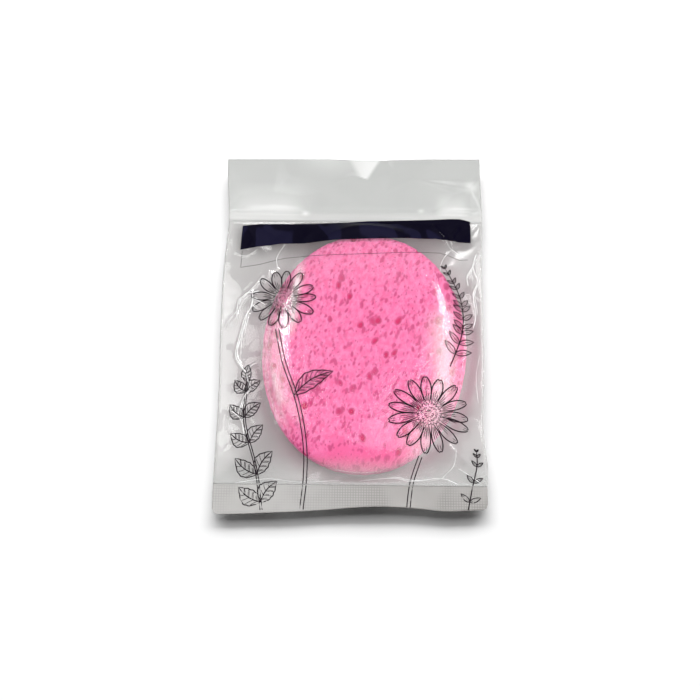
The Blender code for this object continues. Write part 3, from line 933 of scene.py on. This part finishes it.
class Web:
    """The front web's own grid of places, on which the print is laid."""

    def __init__(self, step):
        self.columns = round(2 * HALF_WIDTH / step) + 1
        self.rows = round((HEADER_END_Y - FOOT_AXIS_Y) / step) + 1
        u = np.linspace(-HALF_WIDTH, HALF_WIDTH, self.columns)
        v = np.linspace(FOOT_AXIS_Y, HEADER_END_Y, self.rows)
        uu, vv = np.meshgrid(u, v)
        x, y = lay_out(uu.ravel(), vv.ravel())
        z = web_height(uu.ravel(), vv.ravel(), 0)
        self.grid = np.stack([x, y, z], axis=1).reshape(self.rows, self.columns, 3)

    def place(self, u, v):
        """Places on the web for flat places, by straight interpolation between grid points."""
        across = (u + HALF_WIDTH) / (2 * HALF_WIDTH)
        along = (v - FOOT_AXIS_Y) / (HEADER_END_Y - FOOT_AXIS_Y)
        column = np.clip(across * (self.columns - 1), 0, self.columns - 1.001)
        row = np.clip(along * (self.rows - 1), 0, self.rows - 1.001)
        i, j = column.astype(int), row.astype(int)
        s, t = (column - i)[:, None], (row - j)[:, None]
        low = self.grid[j, i] * (1 - s) + self.grid[j, i + 1] * s
        high = self.grid[j + 1, i] * (1 - s) + self.grid[j + 1, i + 1] * s
        return low * (1 - t) + high * t

    def above(self, u, v, lift):
        """Places this far above the web, along its own normal."""
        step = 0.4 * MM
        across = self.place(u + step, v) - self.place(u - step, v)
        along = self.place(u, v + step) - self.place(u, v - step)
        normal = np.cross(across, along)
        normal /= np.linalg.norm(normal, axis=1)[:, None]
        return self.place(u, v) + normal * lift


def milkiness(v):
    """How much milkier the film is at each place along the pack: in the header and by the foot."""
    header = smoothstep(WELD_FOOT_Y - 0.6 * MM, WELD_FOOT_Y, v)
    foot = smoothstep(-60 * MM, FOOT_AXIS_Y, v) * 0.6
    return header + foot


def make_front_web(web, material):
    """The front of the film from the foot's hinge to the header's top edge, in one sheet."""
    low, high = (-HALF_WIDTH, FOOT_AXIS_Y), (HALF_WIDTH, HEADER_END_Y)
    piece = flat_grid("front_web", low, high, (web.columns - 1, web.rows - 1))
    places = read_places(piece)
    u, v = places[:, 0].copy(), places[:, 1].copy()
    out, outline, _ = around_pad(u, v)
    paint(piece, "on_pad", smoothstep(3 * MM, -2 * MM, out - outline))
    paint(piece, "milky", milkiness(v) + rim_milk(u, v))
    # Painted highlights, and creases that are part stress-whitening and part painted glint
    paint(piece, "pale_and_highlight", film_highlights_and_whitening(u, v))
    write_places(piece, web.place(u, v))
    finish_sheet(piece, material, FILM_WALL)
    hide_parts("front_film", "header_front", "top_seal")
    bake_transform(piece)


def make_back_web(material):
    """The back of the film from the foot's hinge to the header's top edge, in one sheet."""
    low, high = (-HALF_WIDTH, FOOT_AXIS_Y), (HALF_WIDTH, HEADER_END_Y)
    piece = flat_grid("back_web", low, high, [round((b - a) / BACK_STEP) for a, b in zip(low, high)])
    places = read_places(piece)
    u, v = places[:, 0].copy(), places[:, 1].copy()
    paint(piece, "milky", milkiness(v))
    x, y = lay_out(u, v)
    write_places(piece, np.stack([x, y, web_height(u, v, 1)], axis=1))
    finish_sheet(piece, material, FILM_WALL)
    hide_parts("back_film_left", "back_film_right", "header_back")
    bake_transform(piece)


# Welds


def foot_edge(u):
    """How far down the crimped foot reaches at this place across it."""
    t = u / MM
    slant = -1.6 * u / HALF_WIDTH
    bow = 2.0 * hill(t, 12, 24) + 0.5 * hill(t, -20, 30)
    dip = -0.7 * hill(t, 42, 9)
    into = np.clip(np.abs(t) - HALF_WIDTH / MM + FOOT_CORNER, 0, FOOT_CORNER)
    corner = FOOT_CORNER - np.sqrt(np.clip(FOOT_CORNER**2 - into**2, 0, None))
    return FOOT_END_Y + (bow + dip + corner - slant - 0.9) * MM


def seal_height(u, y):
    """Height of the crimped foot: waves towards its free edge, and pressed ribs."""
    down = np.clip((FOOT_AXIS_Y - y) / (FOOT_AXIS_Y - foot_edge(u)), 0, 1)
    wave = (0.5 * np.sin(u / (17 * MM) + 0.6) + 0.25 * np.sin(u / (6.5 * MM))) * MM
    ribs = np.sin(2 * np.pi * u / CRIMP_PITCH[0]) * np.sin(2 * np.pi * y / CRIMP_PITCH[1])
    return SEAM_HEIGHT + wave * down**1.5 + CRIMP_DEPTH * ribs * smoothstep(0.02, 0.1, down)


def make_foot_seal(material):
    """The crimped foot: ribs down it, a wavy outer edge and rounded corners."""
    counts = (round(2 * HALF_WIDTH / SEAL_STEP), SEAL_ROWS)
    piece = flat_grid("foot_seal", (-HALF_WIDTH, 0), (HALF_WIDTH, 1), counts)
    places = read_places(piece)
    u, up = places[:, 0].copy(), places[:, 1].copy()
    outer = foot_edge(u)
    # Paler towards the foot's left end
    paint(piece, "pale_and_highlight", 0.16 * smoothstep(35 * MM, -30 * MM, u))
    x, _ = lay_out(u, np.full(len(u), FOOT_AXIS_Y))
    y = outer + (FOOT_AXIS_Y - outer) * up
    write_places(piece, np.stack([x, y, seal_height(u, y)], axis=1))
    finish_sheet(piece, material, 2 * FILM_WALL)
    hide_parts("bottom_seal")
    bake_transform(piece)


# Print


# The band's upper and lower edge, and the line of the ruled box: places across and along
BAND_TOP = (
    (-52.6, 48.9), (-49, 49.4), (-44, 49.9), (-36, 50.0), (-18, 50.1), (-5, 51.1), (7, 52.2), (22, 52.6),
    (37, 53.2), (45, 53.7), (50, 53.7), (54.6, 52.4),
)
BAND_LOW = (
    (-52.6, 36.5), (-47, 37.0), (-34, 38.7), (-22.5, 38.3), (-8.4, 39.6), (8, 40.2), (25, 41.0), (38.6, 42.0),
    (46, 41.2), (49.5, 40.4), (54.6, 40.9),
)
RULE = (
    (-51.6, 36), (-51.7, 27.4), (-42.8, 28.2), (-31.3, 30.8), (-19.7, 31.4), (0, 32.2), (18.3, 33.1),
    (40.1, 34.2), (44.7, 32.9), (49, 31.4), (53.5, 32.2),
)

# How far the print stops short of the foot's hinge, on each side of it
HINGE_GAP = 0.35

# Half widths of the drawn lines
PEN = {
    "petal": 0.27, "leaf": 0.24, "midrib": 0.25, "stem": 0.22, "frond": 0.26, "leaflet": 0.21, "vein": 0.13,
    "lane": 0.14, "tip": 0.12, "seed": 0.14, "shade": 0.11, "rule": 0.1,
}


def make_band(web, material):
    """The dark band printed on the front of the film, laid on the film's own shape."""
    ends = [BAND_LOW[end][0] * MM for end in (0, -1)]
    piece = flat_grid("printed_stripe", (ends[0], 0), (ends[1], 1), BAND_FACES)
    places = read_places(piece)
    u, share = places[:, 0].copy(), places[:, 1].copy()
    low, high = (np.interp(u / MM, *zip(*edge)) * MM for edge in (BAND_LOW, BAND_TOP))
    write_places(piece, web.above(u, low + (high - low) * share, FILM_WALL / 2 + PRINT_LIFT))
    finish_sheet(piece, material, BAND_WALL, 1.0)
    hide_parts("printed_band")
    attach(piece, "pouch")


def lay_on_web(web, flat, lift):
    return web.above(flat[:, 0], flat[:, 1], FILM_WALL / 2 + lift)


def lay_on_seal(web, flat, lift):
    return np.column_stack([flat, seal_height(flat[:, 0], flat[:, 1]) + FILM_WALL + lift])


def press_flat(piece, centres, normals):
    """Flattens the section of inked lines onto the film they lie on."""
    tree = find_tree(centres)
    places = read_places(piece)
    nearest = [tree.find(place)[1] for place in places]
    heights = ((places - centres[nearest]) * normals[nearest]).sum(axis=1)
    write_places(piece, places - normals[nearest] * (heights * (1 - STROKE_THICKNESS))[:, None])


def make_strokes(web, name, strokes, material, lay=lay_on_web):
    """Inked lines laid on the film: each stroke is flat places with a half width at each."""
    curve = bpy.data.curves.new(name, "CURVE")
    curve.dimensions = "3D"
    curve.bevel_depth = MM
    curve.bevel_resolution = 0
    curve.use_fill_caps = True
    centres, normals = [], []
    for stroke in strokes:
        flat = np.array([point[:2] for point in stroke]) * MM
        laid = lay(web, flat, STROKE_LIFT)
        centres.append(laid)
        normals.append((lay(web, flat, STROKE_LIFT + MM) - laid) / MM)
        spline = curve.splines.new("POLY")
        spline.points.add(len(stroke) - 1)
        for point, place, (_, _, half) in zip(spline.points, laid, stroke):
            point.co = (*place, 1)
            point.radius = half
    piece = bpy.data.objects.new(name, curve)
    bpy.context.scene.collection.objects.link(piece)
    pick(piece)
    bpy.ops.object.convert(target="MESH")
    piece = bpy.context.object
    press_flat(piece, np.concatenate(centres), np.concatenate(normals))
    dress(piece, material)
    if lay is lay_on_seal:
        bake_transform(piece)
    else:
        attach(piece, "pouch")
    return piece


def inked(points, half, thin_start=True, thin_end=True):
    """A stroke of these places whose width swells in the middle as a pen's does."""
    stroke = []
    for number, (x, y) in enumerate(points):
        share = number / (len(points) - 1)
        taper = 1.0
        if thin_start:
            taper = min(taper, 0.45 + share * 4)
        if thin_end:
            taper = min(taper, 0.35 + (1 - share) * 4)
        stroke.append((x, y, half * taper))
    return stroke


def curve_through(points, steps):
    """Evenly stepped places along a smooth curve through these points."""
    ends = np.array([points[0], *points, points[-1]])
    result = []
    for a, b, c, d in zip(ends, ends[1:], ends[2:], ends[3:]):
        bend, twist = 2 * a - 5 * b + 4 * c - d, 3 * b - a - 3 * c + d
        for t in np.arange(steps) / steps:
            result.append(tuple(0.5 * (2 * b + (c - a) * t + bend * t * t + twist * t**3)))
    return result + [points[-1]]


def ahead(place, bearing, far):
    """The place this far from another on this bearing."""
    return (place[0] + math.cos(bearing) * far, place[1] + math.sin(bearing) * far)


def along_curve(middle, share):
    """The place at this share of a curve, and the curve's heading there."""
    index = min(int(share * (len(middle) - 1)), len(middle) - 2)
    here, after = middle[index], middle[index + 1]
    return here, math.atan2(after[1] - here[1], after[0] - here[0])


def petal_strokes(centre, bearing, inner, length, width, chance):
    """One petal: its outline with a softly notched tip, fine lines from its base and from its tip."""
    lean = chance.uniform(-0.08, 0.08)

    def at(share, side):
        place = ahead(centre, bearing, inner + length * share)
        return ahead(place, bearing + math.pi / 2, side + lean * length * share**2)

    def half_at(share):
        return width / 2 * math.sin(math.pi * min(1.0, 0.06 + 0.94 * share) ** 1.25) ** 0.7

    def edge(side):
        shares = [step / 14 for step in range(15)]
        return [at(min(share * 1.02, 1.0), side * half_at(share * 0.97)) for share in shares]

    notch = chance.uniform(0.02, 0.08)
    strokes = [inked([*edge(1), at(1 - notch, 0), *edge(-1)[::-1]], PEN["petal"])]
    for lane in (-0.42, 0.05, 0.45):
        reach = chance.uniform(0.2, 0.5)
        shares = [0.1 + reach * step / 6 for step in range(7)]
        strokes.append(inked([at(share, half_at(share) * lane) for share in shares], PEN["lane"]))
    for lane in (-0.3, 0.3):
        start = chance.uniform(0.72, 0.84)
        shares = [start + (0.94 - start) * step / 4 for step in range(5)]
        strokes.append(inked([at(share, half_at(start) * lane) for share in shares], PEN["tip"]))
    return strokes


def daisy_strokes(centre, radius, petals, seed, squash=0.92):
    """A daisy seen from the front: a ring of petals round a disc filled with small seeds."""
    chance = random.Random(seed)
    inner = radius * 0.27
    strokes = []
    for number in range(petals):
        bearing = 2 * math.pi * (number + chance.uniform(-0.12, 0.12)) / petals
        length = radius * chance.uniform(0.66, 0.76)
        width = 2 * math.pi * radius * 0.62 / petals * chance.uniform(0.86, 0.98)
        strokes += petal_strokes(centre, bearing, inner, length, width, chance)
    for ring, count in ((0.95, 19), (0.62, 12), (0.28, 6)):
        for number in range(count):
            bearing = 2 * math.pi * (number + chance.uniform(-0.3, 0.3)) / count
            place = ahead(centre, bearing, inner * ring * chance.uniform(0.93, 1.05))
            turns = [bearing + math.pi * (step / 5 * 1.4 - 0.7) for step in range(6)]
            arc = [ahead(place, turn, radius * 0.032) for turn in turns]
            strokes.append(inked(arc, PEN["seed"], False, False))
    return [[(x, centre[1] + (y - centre[1]) * squash, half) for x, y, half in s] for s in strokes]


def leaf_strokes(base, tip, width, seed, veins=6):
    """A pointed leaf: outline, midrib, side veins, and closer lines on its shaded half."""
    bearing = math.atan2(tip[1] - base[1], tip[0] - base[0])
    length = math.dist(base, tip)

    def at(share, side):
        bow = 0.10 * length * math.sin(math.pi * share)
        return ahead(ahead(base, bearing, share * length), bearing + math.pi / 2, side + bow)

    def half_at(share):
        return width / 2 * math.sin(math.pi * share**0.85)

    strokes = []
    for side in (1, -1):
        edge = []
        for step in range(17):
            ripple = 1 + 0.06 * math.sin(step * 1.9 + seed)
            edge.append(at(step / 16, side * half_at(step / 16) * ripple))
        strokes.append(inked(edge, PEN["leaf"]))
    strokes.append(inked([at(step / 12, 0) for step in range(13)], PEN["midrib"]))
    for number in range(veins):
        start = 0.10 + 0.72 * number / veins
        for side in (1, -1):
            line = []
            for step in range(6):
                share = start + 0.17 * step / 5
                line.append(at(share, side * half_at(share) * 0.93 * (step / 5) ** 0.9))
            strokes.append(inked(line, PEN["vein"], thin_start=False))
        shade = []
        for step in range(5):
            side = -half_at(start + 0.1) * (0.1 + 0.7 * step / 4)
            shade.append(at(start + 0.06 + 0.12 * step / 4, side))
        strokes.append(inked(shade, PEN["shade"]))
    return strokes


def stem_strokes(points, gap):
    """A stem drawn as two lines, open at both ends."""
    middle = curve_through(points, 10)
    strokes = []
    for side in (-1, 1):
        line = []
        for before, here, after in zip([middle[0]] + middle[:-1], middle, middle[1:] + [middle[-1]]):
            heading = math.atan2(after[1] - before[1], after[0] - before[0])
            line.append(ahead(here, heading + math.pi / 2, side * gap / 2))
        strokes.append(inked(line, PEN["stem"], False, False))
    return strokes


def frond_strokes(points, pairs, leaflet, seed):
    """A fern frond: a midrib with pairs of small leaves that shorten towards its tip."""
    chance = random.Random(seed)
    middle = curve_through(points, 12)
    strokes = [inked(middle, PEN["frond"], False, True)]
    for number in range(pairs):
        share = 0.16 + 0.82 * number / (pairs - 1)
        here, heading = along_curve(middle, share)
        size = leaflet * (1.0 - 0.72 * share) * chance.uniform(0.92, 1.05)
        for side in (-1, 1):
            bearing = heading + side * (1.05 - 0.35 * share)
            for edge in (-1, 1):
                line = []
                for step in range(9):
                    out = edge * size * 0.17 * math.sin(math.pi * (step / 8) ** 0.8)
                    place = ahead(here, bearing, size * step / 8)
                    line.append(ahead(place, bearing + math.pi / 2, out))
                strokes.append(inked(line, PEN["leaflet"]))
            rib = [ahead(here, bearing, size * part) for part in (0, 0.5, 1)]
            strokes.append(inked(rib, PEN["tip"]))
    return strokes


def split_at_foot(strokes):
    """Parts strokes where they cross the foot's hinge, so that each half moves with its own film."""
    limit = FOOT_AXIS_Y / MM
    above, below = [], []
    for stroke in strokes:
        run = [stroke[0]]
        for before, here in zip(stroke, stroke[1:]):
            if (before[1] > limit) != (here[1] > limit):
                share = (limit - before[1]) / (here[1] - before[1])
                cut = [b + (h - b) * share for b, h in zip(before, here)]
                sign = 1 if before[1] > limit else -1
                run.append((cut[0], limit + sign * HINGE_GAP, cut[2]))
                (above if before[1] > limit else below).append(run)
                run = [(cut[0], limit - sign * HINGE_GAP, cut[2])]
            run.append(here)
        (above if run[-1][1] > limit else below).append(run)
    return [s for s in above if len(s) > 1], [s for s in below if len(s) > 1]


def sprig_strokes(points, pairs, leaf, width, seed):
    """A branch with pairs of round-ended leaves along it and one at its tip."""
    chance = random.Random(seed)
    middle = curve_through(points, 12)
    strokes = stem_strokes(points, 0.9)
    for number in range(pairs):
        share = 0.10 + 0.80 * number / (pairs - 1)
        here, heading = along_curve(middle, share)
        size = leaf * (1.0 - 0.45 * share) * chance.uniform(0.9, 1.08)
        for side in (-1, 1):
            tip = ahead(here, heading + side * chance.uniform(0.75, 1.0), size)
            strokes += leaf_strokes(here, tip, width * (1.0 - 0.35 * share), seed + number, 4)
    _, heading = along_curve(middle, 1)
    tip = ahead(middle[-1], heading, leaf * 0.6)
    return strokes + leaf_strokes(middle[-1], tip, width * 0.6, seed + pairs, 4)


def make_rule(web, material):
    """The thin line of the ruled box, of one width all along."""
    line = []
    for start, end in zip(RULE, RULE[1:]):
        span = np.array(end) - start
        line += [(*(start + span * step / 12), PEN["rule"]) for step in range(12)]
    make_strokes(web, "printed_rule", [line], material)


def make_crease_lines(web, material):
    """The film's sharpest creases as fine pale lines that waver and part in two: part stress-whitening, part
    painted glint.
    """
    chance = random.Random(SEED + 1)
    strokes = []
    for points, _, _, whiteness in FRONT_CREASES:
        if whiteness < 0.25:
            continue
        middle = curve_through(points, 4)
        for strand in range(2 if whiteness > 0.55 else 1):
            first = 0 if strand == 0 else chance.randrange(0, len(middle) // 2)
            last = len(middle) if strand == 0 else first + max(4, len(middle) // 2)
            stroke = []
            for x, y in middle[first:last]:
                wander = chance.uniform(-0.12, 0.12) + strand * 0.8
                half = 0.34 * whiteness * chance.uniform(0.5, 1.0)
                stroke.append((x + wander, y + wander * 0.4, half))
            stroke[0] = (*stroke[0][:2], 0.03)
            stroke[-1] = (*stroke[-1][:2], 0.03)
            if len(stroke) > 2:
                strokes.append(stroke)
    piece = make_strokes(web, "film_creases", strokes, material)


def make_botanical_print(web, material):
    """Line drawings of daisies, a leafy branch and fern fronds, printed on the front of the film."""
    blooms = daisy_strokes((34.5, -43.0), 19.0, 15, 4)
    blooms += daisy_strokes((-31.5, 10.5), 15.5, 13, 9)
    greens = stem_strokes([(30.5, -61.5), (27.0, -72), (25.5, -83.2)], 1.5)
    greens += stem_strokes([(-33.5, -4.0), (-30.0, -20), (-23.0, -40), (-19.5, -62), (-21.0, -84.4)], 1.5)
    greens += leaf_strokes((-25.0, -35), (-8.0, -24.0), 7.5, 7)
    greens += sprig_strokes([(-38.5, -84.8), (-41.5, -66), (-47.0, -46), (-46.5, -28)], 5, 13.5, 7.5, 31)
    greens += frond_strokes([(51.5, -84.0), (55.0, -66), (55.5, -58)], 5, 6.0, 6)
    greens += frond_strokes([(44.0, -21), (49.8, -4), (49.0, 12), (42.0, 27)], 12, 8.5, 2)
    bloom_above, bloom_below = split_at_foot(blooms)
    green_above, green_below = split_at_foot(greens)
    make_strokes(web, "daisy_print", bloom_above, material)
    make_strokes(web, "leaf_print", green_above, material)
    make_strokes(web, "foot_print", bloom_below + green_below, material, lay_on_seal)


# Stage


CAMERA_ELEVATION = math.radians(72)
CAMERA_AZIMUTH = math.radians(-0.66)
CAMERA_TARGET = (-0.7 * MM, -11.5 * MM, 6 * MM)
CAMERA_DISTANCE = 0.545
CAMERA_LENS = 61.9

# The lamps: place, size, radiance and kind. GROUND lamps light the ground alone. The others light all
# but the ground, with diffuse or with glossy light only
LAMPS = {
    "ground_low_lamp": ((0, 5.2, 3.0), (10.0, 1.26), 6.6, "GROUND"),
    "ground_middle_lamp": ((0, 4.46, 4.01), (10.0, 1.26), 10.6, "GROUND"),
    "ground_high_lamp": ((0, 2.9, 5.25), (6.2, 2.9), 2.6, "GROUND"),
    "ceiling_panel": ((0, 0.52, 1.1), (2.4, 0.85), 1.25, "DIFFUSE"),
    "ceiling_glow": ((0, 0.52, 1.1), (2.4, 0.85), 0.6, "GLOSSY"),
    "front_fill": ((0, -0.55, 1.0), (1.8, 1.1), 1.75, "DIFFUSE"),
    "left_fill": ((-0.95, 0.0, 0.52), (1.0, 0.8), 2.2, "DIFFUSE"),
    "right_fill": ((0.98, 0.0, 0.46), (1.0, 0.8), 4.8, "DIFFUSE"),
    "back_glint": ((0, 0.90, 0.63), (0.40, 0.25), 8.5, "GLOSSY"),
    "left_glint": ((-0.70, 0.34, 0.78), (0.25, 0.3), 4.0, "GLOSSY"),
    "right_glint": ((0.86, 0.34, 0.58), (0.25, 0.3), 5.0, "GLOSSY"),
    "front_glint": ((0, -0.95, 0.5), (0.6, 0.2), 4.0, "GLOSSY"),
    "left_spark": ((-0.262, 0.385, 0.94), (0.09, 0.17), 34.0, "GLOSSY"),
    "left_strip": ((-0.33, 0.24, 0.95), (0.26, 0.4), 4.0, "GLOSSY"),
    "right_spark": ((0.29, 0.415, 0.94), (0.07, 0.09), 40.0, "GLOSSY"),
    "right_strip": ((0.26, 0.24, 1.0), (0.12, 0.30), 3.0, "GLOSSY"),
    "right_haze": ((0.29, 0.17, 1.0), (0.30, 0.55), 2.6, "GLOSSY"),
}


def area_lamp(name, place, size, radiance, kind, lit):
    """A rectangular lamp of this radiance, aimed at the pack, that lights what it is given."""
    light = bpy.data.lights.new(name, "AREA")
    light.shape = "RECTANGLE"
    light.size, light.size_y = size
    light.energy = radiance * math.pi * size[0] * size[1]
    lamp = bpy.data.objects.new(name, light)
    lamp.location = place
    lamp.rotation_euler = Vector(place).to_track_quat("Z", "Y").to_euler()
    lamp.visible_camera = False
    lamp.visible_glossy = kind != "DIFFUSE"
    lamp.visible_diffuse = kind != "GLOSSY"
    lamp.light_linking.receiver_collection = lit
    bpy.context.scene.collection.objects.link(lamp)


def make_world():
    """White as the camera sees it, also through the film, and dim in what the film reflects."""
    world = Finish(bpy.data.worlds.new("studio"))
    bpy.context.scene.world = world.holder
    path = world.node("ShaderNodeLightPath").socket.node.outputs
    camera, through, glossy = [
        Signal(world, path[f"Is {kind} Ray"]) for kind in ("Camera", "Transmission", "Glossy")
    ]
    level = camera.at_least(through).at_least(glossy * 0.08 + 0.04)
    background = world.node("ShaderNodeBackground", {"Color": WHITE, "Strength": level})
    world.done(background, "ShaderNodeOutputWorld")


def make_stage():
    """The pale floor, the world and the lamps."""
    pick()
    bpy.ops.mesh.primitive_plane_add(size=1.4, location=(0, 0, -0.1 * MM))
    floor = bpy.context.object
    floor.name = "studio_floor"
    finish = new_finish("floor_white")
    dress(floor, finish.done(finish.solid((0.93, 0.93, 0.93, 1), 1.0, {"Specular IOR Level": 0.0})))
    make_world()
    ground, beside = [bpy.data.collections.new(name) for name in ("ground_only", "all_but_ground")]
    for collection in (ground, beside):
        collection.objects.link(floor)
    for held in beside.collection_objects:
        held.light_linking.link_state = "EXCLUDE"
    for name, (place, size, radiance, kind) in LAMPS.items():
        area_lamp(name, place, size, radiance, kind, ground if kind == "GROUND" else beside)


def make_camera():
    """The photograph's view, from above the foot."""
    level = math.cos(CAMERA_ELEVATION)
    east, north = math.sin(CAMERA_AZIMUTH) * level, math.cos(CAMERA_AZIMUTH) * level
    forward = Vector((east, north, -math.sin(CAMERA_ELEVATION)))
    data = bpy.data.cameras.new("photo_camera")
    data.lens = CAMERA_LENS
    data.sensor_width = 36
    data.clip_start = 0.01
    camera = bpy.data.objects.new("photo_camera", data)
    camera.location = Vector(CAMERA_TARGET) - forward * CAMERA_DISTANCE
    camera.rotation_euler = forward.to_track_quat("-Z", "Y").to_euler()
    bpy.context.scene.collection.objects.link(camera)
    bpy.context.scene.camera = camera


def finish_fins(material):
    """Gives the fin's solids, which stay as they are, the finish of the welds."""
    for name in ("fin_seal", "fin_end_foot", "fin_end_header", "header_fin"):
        dress(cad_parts[name], material)


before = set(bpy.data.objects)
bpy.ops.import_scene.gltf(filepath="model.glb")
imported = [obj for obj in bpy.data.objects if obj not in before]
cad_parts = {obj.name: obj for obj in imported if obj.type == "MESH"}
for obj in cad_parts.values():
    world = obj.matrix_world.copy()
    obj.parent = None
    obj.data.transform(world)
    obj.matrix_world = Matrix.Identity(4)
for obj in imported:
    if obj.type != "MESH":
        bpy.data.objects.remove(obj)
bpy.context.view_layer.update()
bpy.context.scene.view_settings.view_transform = "Standard"
make_camera()
make_stage()

pouch_film = film_finish(
    "pouch_film", clear=(0.975, 0.977, 0.975, 1), haze=0.012, haze_colour=(0.605, 0.616, 0.602, 1),
    gloss=0.018, veil=0.009,
)
back_film = film_finish(
    "back_film", clear=(0.93, 0.93, 0.93, 1), haze=0.6, haze_colour=(0.66, 0.645, 0.64, 1),
    gloss=0.02, veil=0.012,
)
weld_film = film_finish(
    "weld_film", clear=(0.9, 0.9, 0.9, 1), haze=0.75, haze_colour=(0.347, 0.332, 0.318, 1),
    gloss=0.02, veil=0.02, gloss_roughness=0.2, hatch=0.8,
)
navy = band_finish()
crease_film = crease_finish()
line_ink = line_finish()

make_sponge()
front = Web(WEB_STEP)
make_front_web(front, pouch_film)
make_back_web(back_film)
make_foot_seal(weld_film)
finish_fins(weld_film)
make_band(front, navy)
make_rule(front, line_ink)
make_botanical_print(front, line_ink)
make_crease_lines(front, crease_film)
